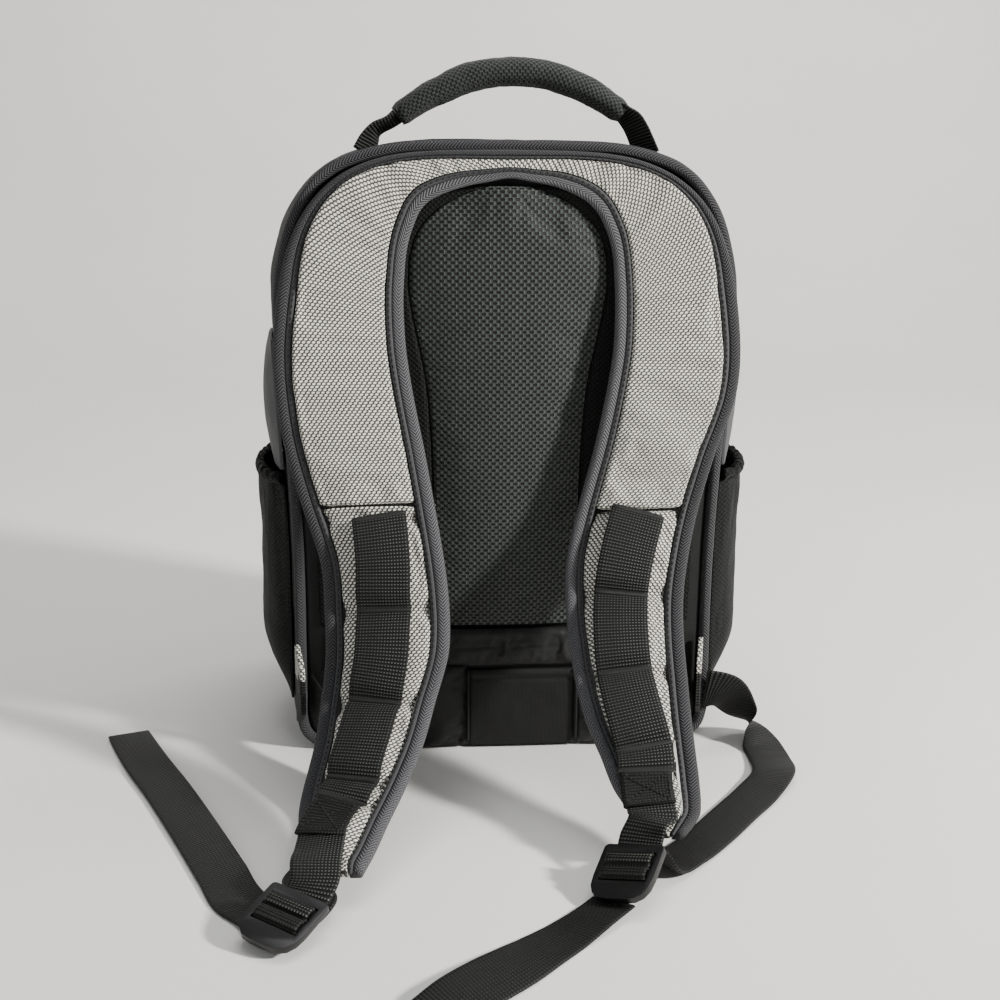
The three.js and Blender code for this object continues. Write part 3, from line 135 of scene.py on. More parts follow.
class Graph:
    """A material whose nodes are written as expressions over the cloth's own coordinates in metres."""

    def __init__(self, name):
        self.material = bpy.data.materials.new(name)
        self.material.use_nodes = True
        self.tree = self.material.node_tree
        self.tree.nodes.clear()
        uv = self.tree.nodes.new("ShaderNodeUVMap")
        uv.uv_map = "cloth"
        self.place = uv.outputs["UV"]
        split = self.tree.nodes.new("ShaderNodeSeparateXYZ")
        self.tree.links.new(self.place, split.inputs[0])
        self.u = Value(self, split.outputs["X"])
        self.v = Value(self, split.outputs["Y"])

    def feed(self, socket, value):
        if isinstance(value, Value):
            self.tree.links.new(value.socket, socket)
        else:
            socket.default_value = value

    def math(self, operation, *values):
        node = self.tree.nodes.new("ShaderNodeMath")
        node.operation = operation
        for socket, value in zip(node.inputs, values):
            self.feed(socket, value)
        return Value(self, node.outputs[0])

    def wave(self, value, pitch):
        return self.math("COSINE", value * (2 * math.pi / pitch)) * 0.5 + 0.5

    def fold(self, value, pitch):
        return self.math("PINGPONG", value, pitch)

    def smooth(self, value, low, high):
        node = self.tree.nodes.new("ShaderNodeMapRange")
        node.interpolation_type = "SMOOTHSTEP"
        self.feed(node.inputs["Value"], value)
        node.inputs["From Min"].default_value = low
        node.inputs["From Max"].default_value = high
        return Value(self, node.outputs[0])

    def noise(self, scale, detail=3.0, stretch=(1, 1)):
        node = self.tree.nodes.new("ShaderNodeTexNoise")
        node.inputs["Scale"].default_value = scale
        node.inputs["Detail"].default_value = detail
        if stretch == (1, 1):
            self.tree.links.new(self.place, node.inputs["Vector"])
        else:
            joined = self.tree.nodes.new("ShaderNodeCombineXYZ")
            self.feed(joined.inputs[0], self.u * stretch[0])
            self.feed(joined.inputs[1], self.v * stretch[1])
            self.tree.links.new(joined.outputs[0], node.inputs["Vector"])
        return Value(self, node.outputs["Fac"])

    def blend(self, share, low, high):
        node = self.tree.nodes.new("ShaderNodeMix")
        node.data_type = "RGBA"
        self.feed(node.inputs[0], share)
        for socket, value in ((node.inputs[6], low), (node.inputs[7], high)):
            if isinstance(value, Value):
                self.tree.links.new(value.socket, socket)
            else:
                socket.default_value = (*value, 1)
        return Value(self, node.outputs[2])

    def finish(self, base, rough, height=None, depth=0.0002, sheen=0.0, metal=0.0, shine=0.5):
        shader = self.tree.nodes.new("ShaderNodeBsdfPrincipled")
        self.feed(shader.inputs["Base Color"], base if isinstance(base, Value) else (*base, 1))
        self.feed(shader.inputs["Roughness"], rough)
        shader.inputs["Metallic"].default_value = metal
        shader.inputs["Specular IOR Level"].default_value = shine
        shader.inputs["Sheen Weight"].default_value = sheen
        shader.inputs["Sheen Roughness"].default_value = 0.45
        if height is not None:
            bump = self.tree.nodes.new("ShaderNodeBump")
            bump.inputs["Distance"].default_value = depth
            self.feed(bump.inputs["Height"], height)
            self.tree.links.new(bump.outputs["Normal"], shader.inputs["Normal"])
        out = self.tree.nodes.new("ShaderNodeOutputMaterial")
        self.tree.links.new(shader.outputs[0], out.inputs["Surface"])
        return self.material


def lighter(base, amount):
    return tuple(min(channel * amount, 1.0) for channel in base)


def made(name, maker):
    """A material by name, made the first time it is asked for."""
    full = f"backpack_{name}"
    return bpy.data.materials.get(full) or maker(Graph(full))


def silver_cloth():
    def maker(g):
        c, s = colours(), sizes()
        row = g.math("FLOOR", g.v / s.weave_along)
        shift = g.math("MODULO", g.math("ABSOLUTE", row), 2.0) * (s.weave_across / 2)
        rise = g.math("FRACT", g.v / s.weave_along)
        across = g.wave(g.u + shift + rise * 0.0006, s.weave_across)
        along = g.math("SINE", rise * math.pi)
        yarn = g.smooth(across * along, 0.14, 0.46)
        fibre = g.noise(2600, 2.0, (1, 0.35))
        patch = g.noise(14, 3.0)
        light = g.blend(patch * 0.9, lighter(c.silver_light, 0.84), lighter(c.silver_light, 1.1))
        ground = g.blend(along, lighter(c.silver_dark, 0.55), lighter(c.silver_dark, 1.6))
        base = g.blend(yarn * (0.72 + fibre * 0.4), ground, light)
        height = yarn + fibre * 0.15
        return g.finish(base, 0.62 + patch * 0.15, height, 0.00042, sheen=0.03, shine=0.35)

    return made("silver_cloth", maker)


def tape_maker(tone):
    def maker(g):
        c, s = colours(), sizes()
        vee = g.fold(g.u, 0.0032) * 1.1
        twill = g.wave(g.v + vee, s.tape)
        fibre = g.noise(1900, 2.0)
        share = twill * 0.85 + fibre * 0.2
        base = g.blend(share, lighter(c.binding, 0.2 * tone), lighter(c.binding, 2.0 * tone))
        return g.finish(base, 0.62 + fibre * 0.2, twill + fibre * 0.2, 0.0005, sheen=0.02, shine=0.3 * tone)

    return maker


def grey_binding():
    return made("grey_binding", tape_maker(1.2))


def dark_binding():
    return made("dark_binding", tape_maker(0.66))


def flat_tape():
    def maker(g):
        c = colours()
        fine = g.wave(g.v, 0.0008) * g.wave(g.u, 0.0011)
        base = g.blend(fine, lighter(c.binding, 0.6), lighter(c.binding, 1.2))
        return g.finish(base, 0.66, fine, 0.0001, sheen=0.02, shine=0.3)

    return made("flat_tape", maker)


def mesh_maker(share, gloss, tone):
    def maker(g):
        c, s = colours(), sizes()
        across, along = s.hole_across * share, s.hole_along * share
        row = g.math("FLOOR", g.v / along)
        shift = g.math("MODULO", g.math("ABSOLUTE", row), 2.0) * 0.5
        x = (g.math("FRACT", g.u / across + shift) - 0.5) * across
        y = (g.math("FRACT", g.v / along) - 0.5) * along
        away = g.math("SQRT", x * x * 0.42 + y * y)
        rim = g.smooth(away, 0.33 * along, 0.53 * along)
        knit = g.wave(g.u, 0.0009 * share) * g.wave(g.v, 0.0007 * share)
        fibre = g.noise(1500, 2.0)
        # Painted highlight: bright glints on the threads beside each hole, varied by the fibre noise.
        thread_glint = g.smooth(g.math("ABSOLUTE", x), 0.3 * across, 0.5 * across) * (0.35 + fibre)
        threads_and_glints = g.blend(thread_glint + knit * 0.25, lighter(c.mesh, 0.75 * tone), lighter(c.mesh, 5.5 * tone))
        # The holes get a near-black colour, a painted shade for the dark inside of each hole.
        base = g.blend(rim, lighter(c.mesh, 0.1), threads_and_glints)
        height = rim + knit * 0.22 * rim
        return g.finish(base, 0.5 + fibre * 0.2, height, 0.0008 * share, sheen=gloss, shine=0.14 + gloss)

    return maker


def air_mesh():
    return made("air_mesh", mesh_maker(1.0, 0.14, 1.0))


# The fine mesh's low tone of 0.16 is painted shade: the pockets, their hems and the side pads are darkened
# for the shade that falls on them.
def shaded_fine_mesh():
    return made("shaded_fine_mesh", mesh_maker(0.75, 0.0, 0.16))


def sleeve_mesh():
    return made("sleeve_mesh", mesh_maker(0.75, 0.1, 0.62))


def web_maker(glint_share):
    def maker(g):
        c, s = colours(), sizes()
        rib = g.wave(g.v, s.rib)
        yarn = g.wave(g.u, 0.0016)
        fibre = g.noise(1700, 2.0)
        # Painted highlight: bright glints along the rib crests, strong or weak by the web's share of them.
        rib_glint = g.smooth(rib * (g.wave(g.u, 0.0017) * 0.7 + 0.3), 0.5, 0.98)
        # Lighter rib crests and darker grooves between them are painted light and shade; the fibre noise is a
        # random tone of the yarn.
        tone = rib * 0.35 + yarn * rib * 0.25 + fibre * 0.25
        base = g.blend(tone, lighter(c.webbing, 0.08), lighter(c.webbing, 1.05))
        base = g.blend(rib_glint * glint_share, base, lighter(c.webbing, 17.0))
        height = rib * 0.75 + yarn * rib * 0.4 + fibre * 0.1
        return g.finish(base, 0.52 + fibre * 0.2, height, 0.0005, shine=0.28)

    return maker


# Webbing with strong painted glints on its ribs.
def glinting_webbing():
    return made("glinting_webbing", web_maker(0.55))


def plain_webbing():
    return made("plain_webbing", web_maker(0.12))


def black_nylon():
    def maker(g):
        c = colours()
        weave = g.wave(g.u, 0.0008) * g.wave(g.v + 0.0004, 0.0008)
        wear = g.noise(40, 4.0)
        base = g.blend(weave * 0.5 + wear * 0.4, lighter(c.nylon, 0.7), lighter(c.nylon, 2.2))
        return g.finish(base, 0.5 + wear * 0.2, weave, 0.00012, sheen=0.005, shine=0.24)

    return made("black_nylon", maker)


def glossy_nylon():
    def maker(g):
        c = colours()
        weave = g.wave(g.u, 0.0006) * g.wave(g.v, 0.0006)
        wear = g.noise(60, 4.0, (1, 0.5))
        base = g.blend(weave * 0.4 + wear * 0.3, lighter(c.nylon, 0.8), lighter(c.nylon, 2.0))
        return g.finish(base, 0.34 + wear * 0.18, weave * 0.5 + wear, 0.0004, shine=0.36)

    return made("glossy_nylon", maker)


def grey_nylon():
    def maker(g):
        c = colours()
        weave = g.wave(g.u, 0.0009) * g.wave(g.v, 0.0009)
        wear = g.noise(50, 4.0)
        base = g.blend(weave * 0.4 + wear * 0.5, lighter(c.grey, 0.6), lighter(c.grey, 1.6))
        return g.finish(base, 0.52 + wear * 0.15, weave, 0.00014, sheen=0.02, shine=0.4)

    return made("grey_nylon", maker)


def thread():
    def maker(g):
        c = colours()
        twist = g.wave(g.u * 0.7 + g.v, 0.0007)
        base = g.blend(twist, lighter(c.webbing, 0.35), lighter(c.webbing, 1.3))
        return g.finish(base, 0.55, twist, 0.0001, sheen=0.02, shine=0.35)

    return made("thread", maker)


def black_plastic():
    def maker(g):
        c = colours()
        grain = g.noise(1400, 3.0)
        wear = g.noise(90, 3.0)
        base = g.blend(wear, lighter(c.plastic, 0.8), lighter(c.plastic, 1.8))
        return g.finish(base, 0.27 + grain * 0.16, grain, 0.00005, shine=0.4)

    return made("black_plastic", maker)


def dark_metal():
    def maker(g):
        c = colours()
        brushed = g.noise(900, 3.0, (1, 0.1))
        base = g.blend(brushed, lighter(c.metal, 0.7), lighter(c.metal, 1.6))
        return g.finish(base, 0.32 + brushed * 0.15, brushed, 0.00003, metal=1.0)

    return made("dark_metal", maker)


# Reading the CAD pieces


def unit(vectors):
    return vectors / np.maximum(np.linalg.norm(vectors, axis=-1, keepdims=True), 1e-12)


def dot(a, b):
    return (a * b).sum(-1, keepdims=True)


def lengths(vectors):
    return np.linalg.norm(vectors, axis=-1)


def running(steps):
    """Distances from the start at the ends of steps."""
    return np.concatenate([[0], np.cumsum(steps)])


def welded(node):
    """A CAD node's mesh with its shared corners joined."""
    cut = bmesh.new()
    cut.from_mesh(NODES[node].data)
    bmesh.ops.remove_doubles(cut, verts=cut.verts, dist=2e-5)
    cut.verts.ensure_lookup_table()
    cut.verts.index_update()
    return cut


def rings(node, sides):
    """The cross-sections of a capped loft, from one end to the other, with matching corners."""
    cut = welded(node)
    near = [{edge.other_vert(v).index for edge in v.link_edges} for v in cut.verts]
    place = np.array([v.co for v in cut.verts])
    cut.free()
    hub = next(
        i
        for i, around in enumerate(near)
        if len(around) == sides and np.linalg.norm(place[list(around)].mean(0) - place[i]) < 3e-5
    )
    ring = [min(near[hub])]
    while len(ring) < sides:
        ring.append(min((near[ring[-1]] & near[hub]) - set(ring)))
    found, seen = [ring], {hub, *ring}
    while True:
        following = set().union(*(near[i] for i in ring)) - seen
        if len(following) != sides:
            break
        reach = [near[i] & following for i in ring]
        choices = []
        for turn in (-1, 1):
            shared = [reach[i] & reach[(i + turn) % sides] for i in range(sides)]
            if all(len(one) == 1 for one in shared):
                line = [min(one) for one in shared]
                choices.append((lengths(place[line] - place[ring]).sum(), line))
        ring = min(choices)[1]
        found.append(ring)
        seen |= set(ring)
    return place[np.array(found)]


def ordered(sections, edges):
    """The sections with their corners in the order whose edge lengths come closest to the given ones."""
    sides = len(edges)
    wanted = np.array(edges) / sum(edges)
    best = None
    for flip in (1, -1):
        for start in range(sides):
            order = (start + flip * np.arange(sides)) % sides
            turned = sections[:, order]
            found = lengths(np.roll(turned, -1, axis=1) - turned)
            miss = np.abs(found / found.sum(1, keepdims=True) - wanted).sum()
            if best is None or miss < best[0] - 1e-9:
                best = (miss, turned)
    return best[1]


def dense(rows, step, closed=False):
    """Rows of numbers that begin with a point, filled in smoothly at an even distance, and their travel."""
    rows = np.concatenate([rows[-3:], rows, rows[:4]]) if closed else rows
    gaps = np.maximum(lengths(np.diff(rows[:, :3], axis=0)), 1e-9)
    travel = running(gaps)
    slope = np.diff(rows, axis=0) / gaps[:, None]
    lean = np.empty_like(rows)
    lean[0], lean[-1] = slope[0], slope[-1]
    weights = gaps[:, None]
    lean[1:-1] = (weights[1:] * slope[:-1] + weights[:-1] * slope[1:]) / (weights[1:] + weights[:-1])
    first, last = (travel[3], travel[-4]) if closed else (0, travel[-1])
    count = max(int(round((last - first) / step)), 2)
    at = np.linspace(first, last, count + (0 if closed else 1), endpoint=not closed)
    i = np.clip(np.searchsorted(travel, at, side="right") - 1, 0, len(gaps) - 1)
    span = gaps[i][:, None]
    t = ((at - travel[i]) / gaps[i])[:, None]
    filled = (
        (2 * t**3 - 3 * t**2 + 1) * rows[i]
        + (t**3 - 2 * t**2 + t) * span * lean[i]
        + (3 * t**2 - 2 * t**3) * rows[i + 1]
        + (t**3 - t**2) * span * lean[i + 1]
    )
    return filled, at - first


class PieceGroup:
    """An operator that builds one group of pieces."""

    def execute(self, context):
        self.build()
        return {"FINISHED"}


# Building meshes


def shown(name, mesh, material):
    """A mesh of one material as an object of the scene."""
    mesh.materials.clear()
    mesh.materials.append(material)
    obj = bpy.data.objects.new(name, mesh)
    bpy.context.scene.collection.objects.link(obj)
    return obj


def placed(obj, slot, *nodes):
    """The piece on the pack's body, in place of its CAD nodes."""
    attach(obj, "root")
    if nodes:
        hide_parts(*nodes)
    return obj


def smoothed(mesh):
    mesh.polygons.foreach_set("use_smooth", [True] * len(mesh.polygons))


def piece(name, points, faces, uvs, material, slot, *nodes):
    """A named mesh that stands for its CAD nodes."""
    mesh = bpy.data.meshes.new(name)
    mesh.from_pydata([tuple(p) for p in points], [], faces)
    layer = mesh.uv_layers.new(name="cloth")
    layer.data.foreach_set("uv", np.asarray(uvs, np.float32).ravel())
    smoothed(mesh)
    cut = bmesh.new()
    cut.from_mesh(mesh)
    bmesh.ops.recalc_face_normals(cut, faces=cut.faces)
    cut.to_mesh(mesh)
    cut.free()
    return placed(shown(name, mesh, material), slot, *nodes)


def laid(across, along):
    """Cloth coordinates from the distances across and along."""
    return np.stack(np.broadcast_arrays(across, along[:, None]), 2)


def lofted(grid, uv, closed=True):
    """Points, faces and cloth coordinates of a skin round rows of points, capped or closed on itself."""
    rows, columns = grid.shape[:2]
    uv = np.concatenate([uv, uv[:, :1]], 1) if uv.shape[1] == columns else uv
    faces, where = [], []
    spans = rows - 1 if closed else rows
    for r in range(spans):
        n = (r + 1) % rows
        for c in range(columns):
            d = (c + 1) % columns
            faces.append((r * columns + c, r * columns + d, n * columns + d, n * columns + c))
            where += [uv[r, c], uv[r, c + 1], uv[r + 1, c + 1], uv[r + 1, c]]
    points = grid.reshape(-1, 3)
    if closed:
        for end in (0, rows - 1):
            faces.append(tuple(end * columns + c for c in range(columns)))
            where += [uv[end, c] for c in range(columns)]
    return points, faces, np.array(where)


def joined(parts):
    """Several point, face and coordinate sets as one."""
    points, faces, uvs, count = [], [], [], 0
    for more, polygons, where in parts:
        points.append(more)
        faces += [tuple(i + count for i in polygon) for polygon in polygons]
        uvs.append(where)
        count += len(more)
    return np.concatenate(points), faces, np.concatenate(uvs)


def wrinkles(points, scale, seed=0.0, stretch=(1, 1, 1)):
    """Soft noise from -1 to 1 at each point."""
    moved = points * np.array(stretch) * scale + seed
    return np.array([noise.fractal(Vector(p), 1.0, 2.0, 4) for p in moved])


def vectors(mesh, name="co"):
    """The place or the normal of each of a mesh's corners."""
    values = np.empty(len(mesh.vertices) * 3)
    mesh.vertices.foreach_get(name, values)
    return values.reshape(-1, 3)


def moved_to(obj, places):
    obj.data.vertices.foreach_set("co", places.ravel())
    obj.data.update()


def shifted(obj, amount):
    """Moves each corner of a piece along its normal by its own amount."""
    moved_to(obj, vectors(obj.data) + vectors(obj.data, "normal") * np.asarray(amount)[:, None])


def applied(obj):
    """Turns the piece's modifiers into its mesh."""
    shape = obj.evaluated_get(bpy.context.evaluated_depsgraph_get())
    mesh = bpy.data.meshes.new_from_object(shape)
    obj.modifiers.clear()
    old, obj.data = obj.data, mesh
    name = old.name
    bpy.data.meshes.remove(old)
    mesh.name = name


CLOTH = {
    "quality": 5,
    "mass": 0.25,
    "tension_stiffness": 18,
    "compression_stiffness": 18,
    "shear_stiffness": 6,
    "bending_stiffness": 0.06,
    "air_damping": 4,
    "use_pressure": True,
}
CLOTH_FRAMES = 20
MOST_SLIDE = 0.0015


def relaxed(obj, pinned, pressure, growth, low, high):
    """Lets a padded cover settle as cloth under air pressure, with its seams held, then keeps small moves."""
    rest = vectors(obj.data)
    group = obj.vertex_groups.new(name="seams")
    for index in np.nonzero(pinned > 0)[0]:
        group.add([int(index)], float(pinned[index]), "REPLACE")
    cloth = obj.modifiers.new("cover", "CLOTH")
    settings = cloth.settings
    for name, value in CLOTH.items():
        setattr(settings, name, value)
    settings.effector_weights.gravity = 0
    settings.uniform_pressure_force = pressure
    settings.shrink_min = -growth
    settings.vertex_group_mass = "seams"
    cloth.collision_settings.use_collision = False
    scene = bpy.context.scene
    scene.frame_start, scene.frame_end = 1, CLOTH_FRAMES
    cloth.point_cache.frame_start, cloth.point_cache.frame_end = 1, CLOTH_FRAMES
    for number in range(1, CLOTH_FRAMES + 1):
        scene.frame_set(number)
    shape = obj.evaluated_get(bpy.context.evaluated_depsgraph_get())
    moved = vectors(shape.data) - rest
    obj.modifiers.remove(cloth)
    obj.vertex_groups.remove(group)
    scene.frame_set(1)
    normal = vectors(obj.data, "normal")
    out = (moved * normal).sum(1)
    slide = moved - normal * out[:, None]
    far = np.linalg.norm(slide, axis=1, keepdims=True)
    slide *= np.minimum(1, MOST_SLIDE / np.maximum(far, 1e-9))
    settled = rest + slide + normal * (high * np.tanh(np.maximum(out, 0) / high))[:, None]
    settled += normal * (-low * np.tanh(np.maximum(-out, 0) / low))[:, None]
    moved_to(obj, settled)


def refined(obj, levels=1):
    modifier = obj.modifiers.new("refine", "SUBSURF")
    modifier.levels = modifier.render_levels = levels
    modifier.subdivision_type = "CATMULL_CLARK"
    applied(obj)
    smoothed(obj.data)


def boxed_uv(obj):
    """Cloth coordinates in metres, laid on each face from the side that it looks to."""
    mesh = obj.data
    layer = mesh.uv_layers.get("cloth") or mesh.uv_layers.new(name="cloth")
    for polygon in mesh.polygons:
        axis = max(range(3), key=lambda k: abs(polygon.normal[k]))
        u, v = ((1, 2), (0, 2), (0, 1))[axis]
        for loop in polygon.loop_indices:
            co = mesh.vertices[mesh.loops[loop].vertex_index].co
            layer.data[loop].uv = (co[u], co[v])


SHARP_EDGE = math.radians(50)


def skinned(node, material, slot, levels, crease):
    """A CAD piece's own surface, rounded between its hard edges and ready for wrinkles."""
    cut = welded(node)
    bmesh.ops.join_triangles(
        cut, faces=cut.faces, angle_face_threshold=1.0, angle_shape_threshold=1.2, cmp_seam=False
    )
    layer = cut.edges.layers.float.get("crease_edge") or cut.edges.layers.float.new("crease_edge")
    for edge in cut.edges:
        if len(edge.link_faces) == 2 and edge.calc_face_angle(0) > SHARP_EDGE:
            edge[layer] = crease
    mesh = bpy.data.meshes.new(node)
    cut.to_mesh(mesh)
    cut.free()
    obj = shown(node, mesh, material)
    refined(obj, levels)
    boxed_uv(obj)
    return placed(obj, slot, node)


# Bands: webbing and tapes that follow a CAD ribbon


def strip(node, start, toward=(0, -1, 0)):
    """A ribbon's rows of middle, side and face from the end nearest to start, its width and thickness."""
    sections = ordered(rings(node, 4), (30, 1.6, 30, 1.6))
    if np.linalg.norm(sections[-1].mean(0) - start) < np.linalg.norm(sections[0].mean(0) - start):
        sections = sections[::-1]
    middle = sections.mean(1)
    side = unit(sections[:, 1] + sections[:, 2] - sections[:, 0] - sections[:, 3])
    face = unit(sections[:, 3] + sections[:, 2] - sections[:, 0] - sections[:, 1])
    turn = 1 if (face @ np.array(toward)).mean() > 0 else -1
    width = lengths(sections[:, 1] - sections[:, 0]).mean()
    thick = lengths(sections[:, 2] - sections[:, 1]).mean()
    return np.concatenate([middle, side, face * turn], 1), width, thick


def band_profile(width, thick, count=13):
    """Across and up of a woven band's section, flat with soft edges."""
    half, soft = width / 2, 0.45 * thick
    across = np.concatenate([[-half], np.linspace(soft - half, half - soft, count), [half]])
    up = np.full(len(across), thick / 2)
    up[0] = up[-1] = 0.12 * thick
    return np.concatenate([across, across[::-1]]), np.concatenate([up, -up[::-1]])


def band(rows, width, thick, step=0.0016, lift=None):
    """A woven band along rows of middle, side and face."""
    filled, travel = dense(rows, step)
    middle, side, face = filled[:, :3], unit(filled[:, 3:6]), filled[:, 6:9]
    face = unit(face - side * dot(face, side))
    across, up = band_profile(width, thick)
    grid = middle[:, None] + side[:, None] * across[None, :, None] + face[:, None] * up[None, :, None]
    if lift is not None:
        share = travel / travel[-1]
        extra = lift(share[:, None], (across / (width / 2))[None, :])
        grid += face[:, None] * extra[..., None]
    return lofted(grid, laid(across, travel))


def rib_row(centre, along, face, long, wide, high):
    """A bar tack: a low ridge of close stitches, long along its line."""
    along, face = unit(np.array(along)), unit(np.array(face))
    side = np.cross(along, face)
    steps = np.linspace(-1, 1, max(int(long / 0.0009), 8))
    turns = np.radians([180, 150, 110, 70, 30, 0, -40, -140])
    ends = np.sqrt(np.maximum(1 - np.abs(steps) ** 6, 0.05))
    ridge = 1 + 0.12 * np.cos(np.arange(len(steps)) * math.pi)
    grid = (
        np.array(centre)[None, None]
        + along[None, None] * (steps * long / 2)[:, None, None]
        + side[None, None] * (np.cos(turns)[None] * wide / 2 * (ends * ridge)[:, None])[..., None]
        + face[None, None] * (np.sin(turns)[None] * high * (ends * ridge)[:, None])[..., None]
    )
    return lofted(grid, laid(turns * wide / 2, steps * long / 2))


def stitches(path, face, pitch=None, thick=0.00042):
    """A run of separate stitches on a path of points, each with its own face vector."""
    pitch = pitch or sizes().stitch
    rows, travel = dense(np.concatenate([path, face], 1), pitch)
    parts = []
    turns = np.radians([0, 60, 120, 180, 240, 300])
    for here, there in zip(rows[:-1], rows[1:]):
        along = there[:3] - here[:3]
        reach = np.linalg.norm(along)
        if reach < 1e-6:
            continue
        along = along / reach
        up = unit(here[3:6])
        side = np.cross(along, up)
        ring = side[None] * np.cos(turns)[:, None] + up[None] * np.sin(turns)[:, None]
        shares, bulge = np.array([0.1, 0.24, 0.62, 0.76]), np.array([0.35, 1, 1, 0.35])
        sink = np.array([-0.5, 0.1, 0.1, -0.5]) * thick
        grid = (
            here[:3][None, None]
            + along[None, None] * (shares * reach)[:, None, None]
            + up[None, None] * sink[:, None, None]
            + ring[None] * (bulge * thick)[:, None, None]
        )
        parts.append(lofted(grid, laid(turns * thick, shares * reach)))
    return joined(parts)


# The harness

PAD_EDGES = (5.2, 8.5, 15, 15, 8.5, 5.2, 23.5, 23.5)
TAPE_EDGES = (2.3, 8.8, 4.7, 6.1, 3.6, 2.5)
ARCH_MIDDLE = np.array([0.0, 0.2])
PAD_EDGE = 0.0026
FACE_COLUMNS, REAR_COLUMNS = 21, 11


def pad_rows(node):
    """A pad's rows: middle, inner edge, outer edge, face, and its front and back heights."""
    s = ordered(rings(node, 8), PAD_EDGES)
    inner, outer = (s[:, 0] + s[:, 1]) / 2, (s[:, 5] + s[:, 6]) / 2
    face = unit(s[:, 1] - s[:, 0] + s[:, 5] - s[:, 6])
    middle = (inner + outer) / 2
    front = ((s[:, 3] - middle) * face).sum(1)
    back = ((middle - s[:, 7]) * face).sum(1)
    reach = [lengths(edge[:, [0, 2]] - ARCH_MIDDLE).sum() for edge in (inner, outer)]
    if reach[0] > reach[1]:
        inner, outer = outer, inner
    return np.concatenate([middle, inner, outer, face, front[:, None], back[:, None]], 1)


HARNESS_TOP = np.array([0.0, -0.12, 0.3])
BAR_ROWS = [0, 6, 12, 18, 20]


def bars(side):
    """The points where a ladder web is sewn down, from the top."""
    return list(strip(f"daisy_web_{side}", HARNESS_TOP)[0][BAR_ROWS, :3])


def longer(rows, amount):
    """The same rows with both ends carried on a little way."""
    ends = []
    for here, there in ((rows[0], rows[1]), (rows[-1], rows[-2])):
        ends.append(here + (here - there) * amount / np.linalg.norm((here - there)[:3]))
    return np.concatenate([ends[:1], rows, ends[1:]])


def harness_pad(node, pinches, high):
    """A padded, bound strip of the harness, creased where a web is sewn through it."""
    rows = longer(pad_rows(node), 0.0004)
    filled, travel = dense(rows, 0.0026)
    middle, inner, outer, face = (filled[:, k : k + 3] for k in (0, 3, 6, 9))
    face = unit(face)
    front, back = filled[:, 12:13], filled[:, 13:14]
    t = np.linspace(0, 1, FACE_COLUMNS)[None]
    swell = (1 - np.abs(2 * t - 1) ** 3.2) ** 0.75
    up = PAD_EDGE + (front - PAD_EDGE) * swell
    b = np.linspace(1, 0, REAR_COLUMNS)[None]
    down = -(PAD_EDGE + (back - PAD_EDGE) * (1 - np.abs(2 * b - 1) ** 3) ** 0.8)
    across = np.concatenate([t, b], 1)[0]
    up = np.concatenate([up, down], 1)
    grid = inner[:, None] + (outer - inner)[:, None] * across[None, :, None] + face[:, None] * up[..., None]
    width = lengths(outer - inner)
    skin = lofted(grid, laid(across * width[:, None], travel))
    obj = piece(node, *skin, silver_cloth(), "silver_cloth", node)
    along = unit(np.gradient(middle, axis=0))
    gap = np.full(len(filled), 1.0)
    for spot in pinches:
        gap = np.minimum(gap, np.abs(((spot[None] - middle) * along).sum(1)))
    columns = len(across)
    pin = np.zeros((len(filled), columns))
    pin[:, [0, FACE_COLUMNS - 1, FACE_COLUMNS, columns - 1]] = 1
    pin[[0, -1]] = 1
    pin[gap < 0.0016, 6:15] = 1
    groove = np.exp(-((gap / 0.004) ** 2))
    if pinches:
        fall = -sizes().crease * groove[:, None] * np.where(np.arange(columns) < FACE_COLUMNS, 1, 0)[None]
        shifted(obj, (fall * (0.35 + 0.65 * np.abs(2 * across - 1)[None])).ravel())
    relaxed(obj, pin.ravel(), 3.5, 0.045, 0.003, high)
    refined(obj)
    co = vectors(obj.data)
    small = wrinkles(co, 75, 3.1, (1, 1, 1.9)) * 0.35 + wrinkles(co, 26, 9.4) * 0.5
    shifted(obj, small * sizes().wrinkle * 0.55)


def tape_frames(node):
    """A bound edge's rows: its point, the way in across the pad, the face, the width and half height."""
    s = ordered(rings(node, 6), TAPE_EDGES)
    across = unit(s[:, 2] - s[:, 1])
    face = unit(s[:, 3] - s[:, 2])
    width = lengths(s[:, 2] - s[:, 1])[:, None] / 0.88
    half = lengths(s[:, 3] - s[:, 2])[:, None] / 1.8
    start = s[:, 2] - across * width + face * 0.95 * half
    return np.concatenate([start, across, face, width, half], 1)


# Sections of a bound edge: across as a share of its width, up as a share of its half height.
ROLLED_TAPE = (
    (1.0, -0.92),
    (0.55, -0.98),
    (0.2, -0.95),
    (0.06, -0.6),
    (0.0, -0.1),
    (0.03, 0.5),
    (0.12, 0.92),
    (0.26, 1.14),
    (0.42, 1.12),
    (0.56, 0.98),
    (0.64, 0.78),
    (0.665, 0.62),
)
FLAT_TAPE = ((0.68, 0.66), (0.72, 0.98), (0.86, 1.02), (0.97, 0.96), (1.0, 0.7), (1.0, -0.6))


